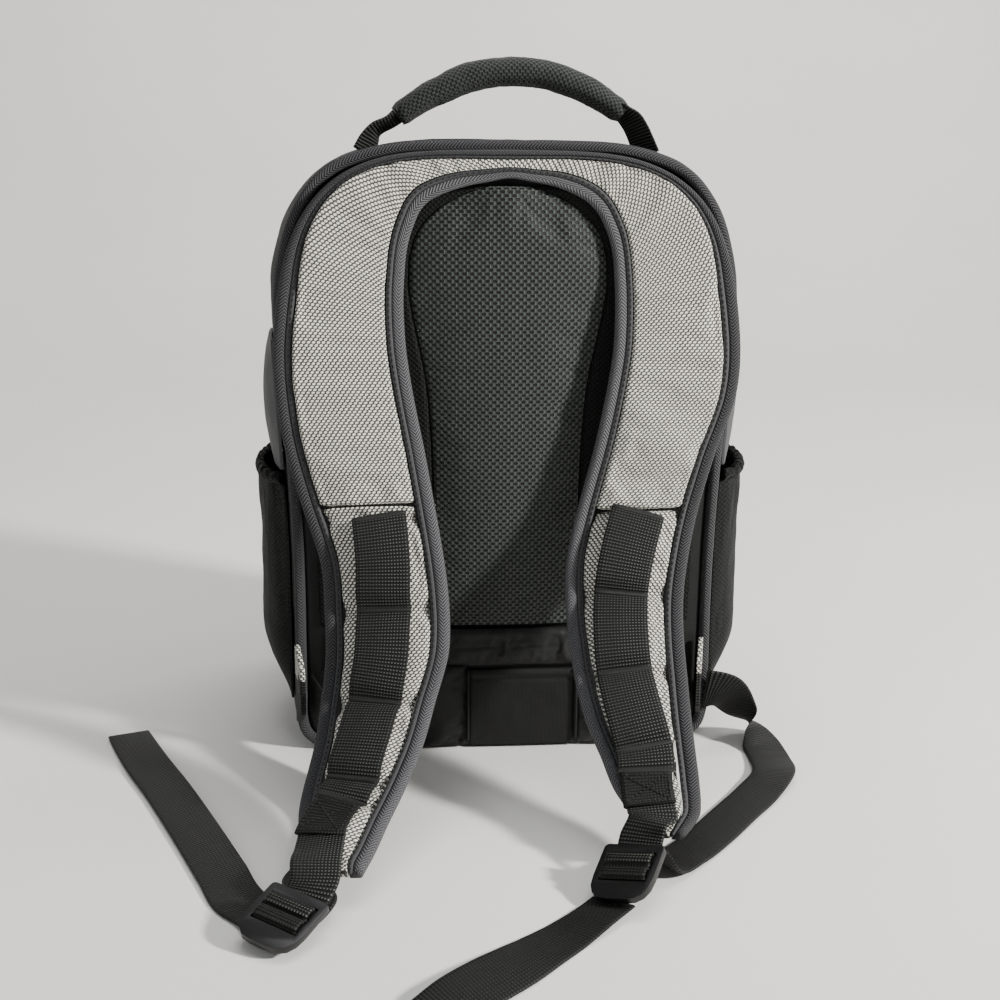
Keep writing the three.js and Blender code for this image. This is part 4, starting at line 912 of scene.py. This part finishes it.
def binding(node, cloth):
    """Herringbone tape rolled over the pad's edge, with a flat band of smooth tape beside it."""
    filled, travel = dense(tape_frames(node), 0.0022)
    start, across, face = filled[:, :3], unit(filled[:, 3:6]), unit(filled[:, 6:9])
    width, half = filled[:, 9:10], filled[:, 10:11]
    parts = []
    swell = 1 + 0.035 * wrinkles(start, 55, 2.0)[:, None]
    for shape in (ROLLED_TAPE, FLAT_TAPE):
        a, h = np.array(shape).T[:, None]
        h = np.where(h > 0.8, h * swell, h)
        grid = (
            start[:, None]
            + across[:, None] * (a * width)[..., None]
            + face[:, None] * (h * half)[..., None]
        )
        steps = lengths(np.diff(grid, axis=1, append=grid[:, :1])).mean(0)
        parts.append(lofted(grid, laid(running(steps), travel)))
    obj = piece(node, *joined(parts), cloth, "grey_binding", node)
    obj.data.materials.append(flat_tape())
    rolled, flat = (len(part[1]) for part in parts)
    obj.data.polygons.foreach_set("material_index", [0] * rolled + [1] * flat)
    seam = start + across * (width * 0.86) + face * (half * 1.05)
    piece(f"{node}_stitches", *stitches(seam, face), thread(), "grey_binding")


class BACKPACK_OT_harness(PieceGroup, bpy.types.Operator):
    """Builds the padded yoke and straps"""

    bl_idname = "backpack.harness"
    bl_label = "Harness pads"

    def build(self):
        harness_pad("shoulder_yoke", [], 0.0030)
        for side in SIDES:
            harness_pad(f"shoulder_strap_{side}", bars(side), 0.0006)


class BACKPACK_OT_bindings(PieceGroup, bpy.types.Operator):
    """Builds the taped edges of the harness and the piping of the back"""

    bl_idname = "backpack.bindings"
    bl_label = "Bindings and piping"

    def build(self):
        binding("inner_binding", grey_binding())
        binding("outer_binding", dark_binding())
        piping()


PANEL_INSET = 0.0073


def outline(inset):
    """The bag's back outline as a closed line at a distance inside its edge, seen from the back."""
    ring = rings("back_panel", 40)[0]
    flat = ring[:, [0, 2]]
    area = (flat[:, 0] * np.roll(flat[:, 1], -1) - np.roll(flat[:, 0], -1) * flat[:, 1]).sum()
    flat = flat if area > 0 else flat[::-1]
    filled, _ = dense(np.concatenate([flat, np.zeros((len(flat), 1))], 1), 0.002, closed=True)
    flat = filled[:, :2]
    along = unit(np.roll(flat, -1, 0) - np.roll(flat, 1, 0))
    out = np.stack([along[:, 1], -along[:, 0]], 1)
    return flat + out * (PANEL_INSET - inset), out


def piping():
    """Thick herringbone piping round the edge of the back."""
    low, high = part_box("edge_piping")
    front, rear = low.y, high.y
    line, out = outline(0.0035)
    turns = np.radians(np.arange(0, 360, 24))
    across = np.sign(np.cos(turns)) * np.abs(np.cos(turns)) ** 0.8
    up = np.sin(turns)
    base = np.clip(line[:, 1] / 0.025, 0, 1)
    near = front + 0.0026 * (1 - base)
    centre, half = (near + rear) / 2, (rear - near) / 2 - 0.0002
    wide = sizes().piping / 2 * (1 + 0.03 * wrinkles(np.insert(line, 1, 0, axis=1), 45, 5.0))
    offset = across[None] * wide[:, None]
    grid = np.empty((len(line), len(turns), 3))
    grid[..., 0] = line[:, None, 0] + out[:, None, 0] * offset
    grid[..., 2] = line[:, None, 1] + out[:, None, 1] * offset
    grid[..., 1] = centre[:, None] - up[None] * half[:, None]
    travel = running(lengths(np.roll(line, -1, 0) - line))
    around = np.concatenate([turns, [2 * math.pi]]) * sizes().piping * 0.55
    skin = lofted(grid, laid(around, travel), closed=False)
    piece("edge_piping", *skin, dark_binding(), "grey_binding", "edge_piping")


# Webbing


def web(
    node, start, material, toward=(0, -1, 0), lift=None, step=0.0016, further=0.0, earlier=0.0
):
    """A piece of webbing in place of its CAD ribbon."""
    rows, width, thick = strip(node, np.array(start), toward)
    for extra, here, there in ((further, -1, -2), (earlier, 0, 1)):
        if extra:
            end = rows[[here]].copy()
            end[:, :3] += unit(rows[[here], :3] - rows[[there], :3]) * extra
            rows = np.concatenate([rows, end] if here else [end, rows])
    obj = piece(node, *band(rows, width, thick, step, lift), material, "black_webbing", node)
    long = dense(rows, 0.002)[1][-1]


def boxed_cross(middle, side, along, face, wide, long):
    """The four sides of a stitched box and its two diagonals, as runs of points."""
    a, b = side * wide / 2, along * long / 2
    spots = [middle - a - b, middle + a - b, middle + a + b, middle - a + b]
    runs = [(0, 1), (1, 2), (2, 3), (3, 0), (0, 2), (1, 3)]
    faces = np.repeat(face[None], 4, 0)
    return [stitches(np.linspace(spots[i], spots[j], 4), faces, 0.0026, 0.00036) for i, j in runs]


LOOP_RISE, BAR_SINK = 0.0024, 0.0005


class BACKPACK_OT_ladder_webs(PieceGroup, bpy.types.Operator):
    """Builds the ladder webbing of the straps, its bar tacks and the boxed patches"""

    bl_idname = "backpack.ladder_webs"
    bl_label = "Ladder webs"

    def build(self):
        for side in SIDES:
            rows, width, thick = strip(f"daisy_web_{side}", HARNESS_TOP)
            gone = running(lengths(np.diff(rows[:, :3], axis=0)))
            spots = gone[BAR_ROWS] / gone[-1]

            def loops(share, across):
                place = np.interp(share, spots, np.arange(5))
                part = place - np.floor(place)
                bulge = LOOP_RISE * np.sin(math.pi * part) ** 0.7 * (0.8 + 0.4 * part) * (place < 3)
                sunk = BAR_SINK * np.exp(-((part * (1 - part) / 0.03) ** 2))
                return bulge * (1 - 0.18 * across**2) - sunk

            web(f"daisy_web_{side}", HARNESS_TOP, glinting_webbing(), lift=loops)
            tacks = []
            for index in BAR_ROWS:
                middle, across, face = rows[index, :3], rows[index, 3:6], rows[index, 6:9]
                high = 0.0013 if index < BAR_ROWS[-1] else 0.0008
                tacks.append(rib_row(middle + face * thick * 0.4, across, face, width * 1.02, 0.0034, high))
            piece(f"bar_tacks_{side}", *joined(tacks), thread(), "black_webbing")
            node = f"stitch_patch_{side}"
            web(node, HARNESS_TOP, plain_webbing())
            rows, width, thick = strip(node, HARNESS_TOP)
            middle, across, face = rows[:, :3].mean(0), unit(rows[:, 3:6].mean(0)), unit(rows[:, 6:9].mean(0))
            along = unit(rows[-1, :3] - rows[0, :3])
            long = np.linalg.norm(rows[-1, :3] - rows[0, :3])
            lifted = middle + face * (thick / 2 + 0.0001)
            runs = boxed_cross(lifted, across, along, face, width * 0.84, long * 0.82)
            piece(f"patch_stitches_{side}", *joined(runs), thread(), "black_webbing")


class BACKPACK_OT_straps(PieceGroup, bpy.types.Operator):
    """Builds the buckle webs, the adjusting webs and their free tails"""

    bl_idname = "backpack.straps"
    bl_label = "Adjusting straps"

    def build(self):
        for side in SIDES:
            web(f"buckle_web_{side}", HARNESS_TOP, glinting_webbing(), step=0.0011, earlier=0.006)
            sign = -1 if side == "left" else 1
            near = (0.12 * sign, -0.1, 0.05)
            web(f"adjust_web_{side}", near, plain_webbing(), (0, -0.4, 1))
            web(f"tail_{side}", (0.1 * sign, -0.3, 0.0), plain_webbing(), (0, 0, 1))


class BACKPACK_OT_locks(PieceGroup, bpy.types.Operator):
    """Builds the ladder locks with rounded edges"""

    bl_idname = "backpack.locks"
    bl_label = "Ladder locks"

    def build(self):
        for side in SIDES:
            rounded(f"ladder_lock_{side}", black_plastic(), "black_plastic", 0.0007)


def rounded(node, material, slot, radius):
    """A hard CAD piece with its edges rounded over."""
    cut = welded(node)
    bmesh.ops.dissolve_limit(cut, angle_limit=math.radians(2), verts=cut.verts, edges=cut.edges)
    mesh = bpy.data.meshes.new(node)
    cut.to_mesh(mesh)
    cut.free()
    obj = shown(f"{node}_round", mesh, material)
    bevel = obj.modifiers.new("edges", "BEVEL")
    bevel.width, bevel.segments, bevel.limit_method = radius, 3, "ANGLE"
    bevel.angle_limit = math.radians(28)
    bevel.use_clamp_overlap = True
    applied(obj)
    smoothed(obj.data)
    obj.data.set_sharp_from_angle(angle=SHARP_EDGE)
    boxed_uv(obj)
    placed(obj, slot, node)


# The body


def edge_fade(share, power=0.5):
    return np.clip(np.sin(math.pi * np.clip(share, 0, 1)), 0, 1) ** power


def back_pad(node, material, slot, step, sim=None, extra=None, lines=()):
    """A pad on the back: the CAD pad's own relief with quilted lines and soft wrinkles."""
    cut = welded(node)
    tree = BVHTree.FromBMesh(cut)
    co = np.array([v.co for v in cut.verts])
    cut.free()
    heights = np.unique(np.round(co[:, 2], 5))
    left = np.array([co[np.abs(co[:, 2] - h) < 1e-5, 0].min() for h in heights])
    right = np.array([co[np.abs(co[:, 2] - h) < 1e-5, 0].max() for h in heights])
    rear = co[:, 1].max()
    low, high = heights[0], heights[-1]
    rows = max(int((high - low) / step), 4)
    widest = (right - left).max()
    count = max(int(widest / step), 6)
    grid = np.empty((rows + 1, count + 1 + 2, 3))
    share = np.linspace(0, 1, count + 1)
    for r, z in enumerate(np.linspace(low, high, rows + 1)):
        a, b = np.interp(z, heights, left), np.interp(z, heights, right)
        x = a + (b - a) * share
        inside = np.clip(z, low + 2e-4, high - 2e-4)
        for c, place in enumerate(x):
            probe = np.clip(place, a + 2e-4, b - 2e-4)
            hit = tree.ray_cast(Vector((probe, -1, inside)), Vector((0, 1, 0)))[0]
            grid[r, c] = (place, hit.y if hit else rear, z)
        grid[r, count + 1] = (b, rear, z)
        grid[r, count + 2] = (a, rear, z)
    y = grid[:, : count + 1, 1]
    for _ in range(6):
        y[1:-1, 1:-1] = (y[1:-1, 1:-1] * 2 + y[:-2, 1:-1] + y[2:, 1:-1] + y[1:-1, :-2] + y[1:-1, 2:]) / 6
    uv = grid[..., [0, 2]].copy()
    obj = piece(node, *lofted(grid, uv), material, slot, node)
    if sim:
        pin = np.zeros(grid.shape[:2])
        pin[:, [0, count, count + 1, count + 2]] = 1
        pin[[0, -1]] = 1
        relaxed(obj, pin.ravel(), *sim)
    co = vectors(obj.data)
    along = (co[:, 2] - low) / (high - low)
    across = np.tile(np.concatenate([share, [1, 0]]), rows + 1)
    fade = edge_fade(along) * edge_fade(across)
    relief = wrinkles(co, 22, 4.2, (1, 0.2, 0.7)) * 0.7 + wrinkles(co, 60, 1.7, (1, 0.2, 1)) * 0.3
    move = relief * sizes().wrinkle * fade
    for line in lines:
        move -= line(co)
    if extra is not None:
        move += extra(co, along, across)
    shifted(obj, move)


def seam_line(axis, at, depth, wide):
    def line(co):
        return depth * np.exp(-(((co[:, axis] - at) / wide) ** 2))

    return line


class BACKPACK_OT_back_pads(PieceGroup, bpy.types.Operator):
    """Builds the air-mesh pads of the back"""

    bl_idname = "backpack.back_pads"
    bl_label = "Back pads"

    def build(self):
        sim = (2.5, 0.02, 0.0015, 0.0015)
        back_pad("back_pad_centre", air_mesh(), "black_mesh", 0.0022, sim=sim)
        for side in SIDES:
            back_pad(f"back_pad_{side}", shaded_fine_mesh(), "black_mesh", 0.003)


# The corded edges of the lumbar cushions beside the belt flap.
CUSHION_EDGES = {"left": -0.0222, "right": 0.0432}
CUSHION_EDGE_HEIGHTS = (0.006, 0.02, 0.036, 0.051)
CUSHION_FACE = -0.0838
EDGE_CORD = 0.0021


class BACKPACK_OT_lumbar(PieceGroup, bpy.types.Operator):
    """Builds the lumbar roll, its two cushions and the belt flap"""

    bl_idname = "backpack.lumbar"
    bl_label = "Lumbar pieces"

    def build(self):
        def puckers(co, along, across):
            gathers = wrinkles(co, 95, 6.0, (1, 0.1, 0.22))
            roll = np.exp(-(((along - 0.86) / 0.1) ** 2)) * 0.0012
            return gathers * 0.0012 * edge_fade(along, 0.8) + roll * edge_fade(across, 0.3)

        sim = (3.0, 0.05, 0.0015, 0.0020)
        back_pad("lumbar_band", glossy_nylon(), "black_nylon", 0.0014, sim=sim, extra=puckers)
        for side in SIDES:
            back_pad(f"lumbar_cushion_{side}", glossy_nylon(), "black_nylon", 0.0016, sim)
        hem = [seam_line(2, 0.0445, 0.0008, 0.0008), seam_line(2, 0.0478, -0.0010, 0.0016)]
        back_pad("belt_flap", black_nylon(), "grey_nylon", 0.0011, lines=hem)
        for side, x in CUSHION_EDGES.items():
            rows = np.array([(x, CUSHION_FACE, z, 1, 0, 0, 0, -1, 0) for z in CUSHION_EDGE_HEIGHTS])
            skin = band(rows, EDGE_CORD, EDGE_CORD, 0.002)
            piece(f"cushion_edge_{side}", *skin, black_nylon(), "black_nylon")


class BACKPACK_OT_body(PieceGroup, bpy.types.Operator):
    """Builds the padded wall, the back panel and the front lid"""

    bl_idname = "backpack.body"
    bl_label = "Body"

    def build(self):
        gusset = skinned("side_gusset", black_nylon(), "black_nylon", 3, 0.85)
        co = vectors(gusset.data)
        soft = wrinkles(co, 16, 2.2, (1, 1, 0.8)) * 0.9 + wrinkles(co, 52, 7.0) * 0.35
        clear = np.clip((co[:, 2] - 0.006) / 0.02, 0, 1)
        shifted(gusset, soft * sizes().wrinkle * clear)
        panel = skinned("back_panel", black_nylon(), "black_nylon", 2, 0.9)
        lid = skinned("front_lid", black_nylon(), "black_nylon", 3, 0.75)
        co = vectors(lid.data)
        soft = wrinkles(co, 14, 8.2) + wrinkles(co, 46, 3.0) * 0.35
        shifted(lid, soft * sizes().wrinkle * np.clip((co[:, 2] - 0.004) / 0.02, 0, 1))


# Share of a wing tab's height that no webbing covers, and the heights of the cut mesh and flap.
BARE_TAB = 0.35
POCKET_HEIGHT, FLAP_HEIGHT = 0.14, 0.074


class BACKPACK_OT_sides(PieceGroup, bpy.types.Operator):
    """Builds the mesh pockets, their ruffled hems, the side flaps and the wing tabs"""

    bl_idname = "backpack.sides"
    bl_label = "Side pieces"

    def build(self):
        for side in SIDES:
            node = f"side_pocket_{side}"
            pocket = skinned(node, shaded_fine_mesh(), "black_mesh", 3, 0.8)
            co = vectors(pocket.data)
            near_mouth = np.clip((co[:, 2] - 0.10) / 0.06, 0, 1)
            gathers = wrinkles(co, 60, 1.0, (0.4, 1.6, 0.35)) * (0.3 + near_mouth)
            soft = wrinkles(co, 24, 6.0)
            clear = np.clip((co[:, 2] - 0.03) / 0.02, 0, 1)
            clear *= np.clip((np.abs(co[:, 0]) - 0.127) / 0.006, 0, 1)
            shifted(pocket, (gathers * 0.0012 + soft * 0.0009) * clear)
            node = f"pocket_hem_{side}"
            hem = skinned(node, shaded_fine_mesh(), "black_mesh", 2, 0.45)
            co = vectors(hem.data)
            shifted(hem, 0.0009 + wrinkles(co, 150, 2.0, (1, 2.2, 0.3)) * 0.0006)
            node = f"side_flap_{side}"
            flap = skinned(node, grey_nylon(), "grey_nylon", 3, 0.8)
            co = vectors(flap.data)
            shifted(flap, wrinkles(co, 38, 5.0, (1, 1.3, 0.6)) * 0.0006)
            node = f"wing_tab_{side}"
            tab = skinned(node, silver_cloth(), "silver_cloth", 2, 0.8)
            heights = vectors(tab.data)[:, 2]
            covered = heights.max() - BARE_TAB * (heights.max() - heights.min())
            tab.data.materials.append(plain_webbing())
            slots = [int(face.center.z < covered) for face in tab.data.polygons]
            tab.data.polygons.foreach_set("material_index", slots)
            for cloth, high, held, more in (
                (pocket, POCKET_HEIGHT, "gathered", [hem]),
                (flap, FLAP_HEIGHT, "stretched", []),
            ):
                area = sum(face.area for face in cloth.data.polygons) / 2
                wide = area / high


SLEEVE_POINTS = 30


class BACKPACK_OT_handle(PieceGroup, bpy.types.Operator):
    """Builds the padded handle and the webbing that it covers"""

    bl_idname = "backpack.handle"
    bl_label = "Handle"

    def build(self):
        sections = rings("handle_sleeve", 10)
        if sections[0, 0, 0] > sections[-1, 0, 0]:
            sections = sections[::-1]
        rows = np.concatenate([sections.mean(1), sections.reshape(len(sections), -1)], 1)
        filled, travel = dense(rows, 0.0016)
        ring = filled[:, 3:].reshape(len(filled), 10, 3)
        closed = []
        for section in ring:
            step = lengths(np.diff(section, axis=0)).sum() / (0.9 * SLEEVE_POINTS)
            around, _ = dense(section, step, closed=True)
            closed.append(np.resize(around, (SLEEVE_POINTS, 3)))
        grid = np.array(closed)
        middle = grid.mean(1, keepdims=True)
        ends = np.minimum(travel, travel[-1] - travel)[:, None, None]
        grid = middle + (grid - middle) * (1 - 0.16 * np.exp(-((ends / 0.002) ** 2)))
        steps = lengths(np.roll(grid, -1, 1) - grid).mean(0)
        skin = lofted(grid, laid(running(steps), travel))
        sleeve = piece("handle_sleeve", *skin, sleeve_mesh(), "black_mesh", "handle_sleeve")
        co = vectors(sleeve.data)
        out = co - np.repeat(middle[:, 0], SLEEVE_POINTS, 0)
        turn = np.arctan2(out[:, 2], -out[:, 1]) + 0.9
        fold = 0.0012 * np.exp(-((turn / 0.16) ** 2)) - 0.0010 * np.exp(-(((turn - 0.34) / 0.12) ** 2))
        shifted(sleeve, wrinkles(co, 90, 4.0, (0.8, 1, 1)) * 0.0007 + fold)
        for side in SIDES:
            sign = -1 if side == "left" else 1
            node = f"handle_web_{side}"
            near, up = (0.03 * sign, -0.06, 0.4), (0.6 * sign, 0, 1)
            web(node, near, glinting_webbing(), up, further=0.009, earlier=0.004)


class BACKPACK_OT_zip(PieceGroup, bpy.types.Operator):
    """Builds the zip round the front: its tape, coil, sliders, pulls and the lid's hinge"""

    bl_idname = "backpack.zip"
    bl_label = "Zip"

    def build(self):
        tape = skinned("zip_tape", plain_webbing(), "black_nylon", 2, 1.0)
        hinge = skinned("lid_hinge", black_nylon(), "black_nylon", 2, 1.0)
        sections = rings("zip_coil", 3)
        middle = sections.mean(1)
        start = int(np.argmax(lengths(np.roll(sections, -1, 1) - sections).mean(0)))
        side = unit(sections[:, (start + 1) % 3] - sections[:, start])
        rows, travel = dense(np.concatenate([middle, side], 1), 0.0018)
        parts = []
        for here, there in zip(rows[:-1], rows[1:]):
            along = unit(there[:3] - here[:3])
            face = unit(np.cross(along, here[3:6]))
            parts.append(rib_row(here[:3] - face * 0.0004, here[3:6], face, 0.0046, 0.0012, 0.0008))
        piece("zip_coil", *joined(parts), black_plastic(), "black_plastic", "zip_coil")
        for side in SIDES:
            rounded(f"zip_slider_{side}", dark_metal(), "dark_metal", 0.0009)
            rounded(f"zip_pull_{side}", black_plastic(), "black_plastic", 0.0005)


# Stage


def area_light(name, place, target, size, power, tint):
    data = bpy.data.lights.new(name, "AREA")
    data.shape, data.size, data.size_y = "RECTANGLE", size[0], size[1]
    data.energy, data.color = power, tint
    lamp = bpy.data.objects.new(name, data)
    lamp.location = place
    lamp.rotation_euler = (Vector(target) - Vector(place)).to_track_quat("-Z", "Y").to_euler()
    bpy.context.scene.collection.objects.link(lamp)


# Name, place, target, size in metres, power in watts and tint of each light.
LIGHTS = (
    ("key", (1.75, -1.05, 1.15), (0, 0, 0.2), (0.22, 0.22), 100, (1.0, 0.985, 0.95)),
    ("fill", (-1.2, -1.7, 1.3), (0, 0, 0.15), (1.2, 1.2), 9, (0.95, 0.97, 1.0)),
    ("top", (0.3, -0.3, 1.9), (0, 0, 0.1), (1.2, 1.2), 8, (1.0, 1.0, 1.0)),
    ("backdrop", (0.4, 0.5, 2.4), (0, 1.9, 0.6), (2.2, 0.8), 40, (1.0, 1.0, 1.0)),
)


CAMERA_PLACE = Vector((-0.070, -0.915, 0.371))
CAMERA_PITCH, CAMERA_YAW, CAMERA_ROLL = 14.45, 4.55, 0.48
CAMERA_LENS = 53.28


def camera():
    pitch, yaw, roll = (math.radians(a) for a in (CAMERA_PITCH, CAMERA_YAW, CAMERA_ROLL))
    forward = Vector((math.sin(yaw) * math.cos(pitch), math.cos(yaw) * math.cos(pitch), -math.sin(pitch)))
    right = forward.cross(Vector((0, 0, 1))).normalized()
    up = right.cross(forward)
    across = right * math.cos(roll) + up * math.sin(roll)
    upward = up * math.cos(roll) - right * math.sin(roll)
    data = bpy.data.cameras.new("camera")
    data.lens, data.sensor_width = CAMERA_LENS, 36
    data.clip_start, data.clip_end = 0.05, 40
    eye = bpy.data.objects.new("camera", data)
    turn = Matrix((across, upward, -forward)).transposed().to_4x4()
    eye.matrix_world = Matrix.Translation(CAMERA_PLACE) @ turn
    bpy.context.scene.collection.objects.link(eye)
    bpy.context.scene.camera = eye


class BACKPACK_OT_stage(PieceGroup, bpy.types.Operator):
    """Builds the pale floor with its backdrop, the lights and the camera"""

    bl_idname = "backpack.stage"
    bl_label = "Stage"

    def build(self):
        steps = [(-3.0, 0.0), (1.2, 0.0)]
        for turn in range(1, 9):
            angle = math.radians(90 * turn / 8)
            steps.append((1.2 + 0.8 * math.sin(angle), 0.8 - 0.8 * math.cos(angle)))
        steps.append((2.0, 3.0))
        points = [(x, y, z) for y, z in steps for x in (-4.0, 4.0)]
        faces = [(2 * i, 2 * i + 1, 2 * i + 3, 2 * i + 2) for i in range(len(steps) - 1)]
        mesh = bpy.data.meshes.new("floor")
        mesh.from_pydata(points, [], faces)
        smoothed(mesh)
        layer = mesh.uv_layers.new(name="cloth")
        for loop in mesh.loops:
            co = mesh.vertices[loop.vertex_index].co
            layer.data[loop.index].uv = (co.x, co.y + co.z)

        def maker(g):
            cloud = g.noise(2.2, 3.0)
            base = g.blend(cloud, lighter(colours().floor, 0.93), lighter(colours().floor, 1.05))
            return g.finish(base, 0.75, shine=0.25)

        shown("floor", mesh, made("pale_floor", maker))
        for light in LIGHTS:
            area_light(*light)
        world = bpy.data.worlds.new("studio")
        world.use_nodes = True
        sky = world.node_tree.nodes["Background"].inputs
        sky["Color"].default_value = (0.8, 0.82, 0.86, 1)
        sky["Strength"].default_value = 0.21
        bpy.context.scene.world = world
        camera()


class BACKPACK_PT_panel(bpy.types.Panel):
    """Lists the pieces of the backpack"""

    bl_idname = "BACKPACK_PT_panel"
    bl_label = "Camera backpack"
    bl_space_type = "VIEW_3D"
    bl_region_type = "UI"
    bl_category = "Backpack"

    def draw(self, context):
        for operator in OPERATORS:
            self.layout.operator(operator.bl_idname)
        for group in (context.scene.backpack_colours, context.scene.backpack_sizes):
            for name in group.__annotations__:
                self.layout.prop(group, name)


OPERATORS = (
    BACKPACK_OT_body,
    BACKPACK_OT_back_pads,
    BACKPACK_OT_lumbar,
    BACKPACK_OT_harness,
    BACKPACK_OT_bindings,
    BACKPACK_OT_ladder_webs,
    BACKPACK_OT_straps,
    BACKPACK_OT_locks,
    BACKPACK_OT_sides,
    BACKPACK_OT_handle,
    BACKPACK_OT_zip,
    BACKPACK_OT_stage,
)
CLASSES = (BackpackColours, BackpackSizes, *OPERATORS, BACKPACK_PT_panel)


def register():
    for cls in CLASSES:
        bpy.utils.register_class(cls)
    bpy.types.Scene.backpack_colours = bpy.props.PointerProperty(type=BackpackColours)
    bpy.types.Scene.backpack_sizes = bpy.props.PointerProperty(type=BackpackSizes)


def unregister():
    del bpy.types.Scene.backpack_sizes
    del bpy.types.Scene.backpack_colours
    for cls in reversed(CLASSES):
        bpy.utils.unregister_class(cls)


def main():
    register()
    for operator in OPERATORS:
        category, name = operator.bl_idname.split(".")
        getattr(getattr(bpy.ops, category), name)()


if __name__ == "__main__":
    main()
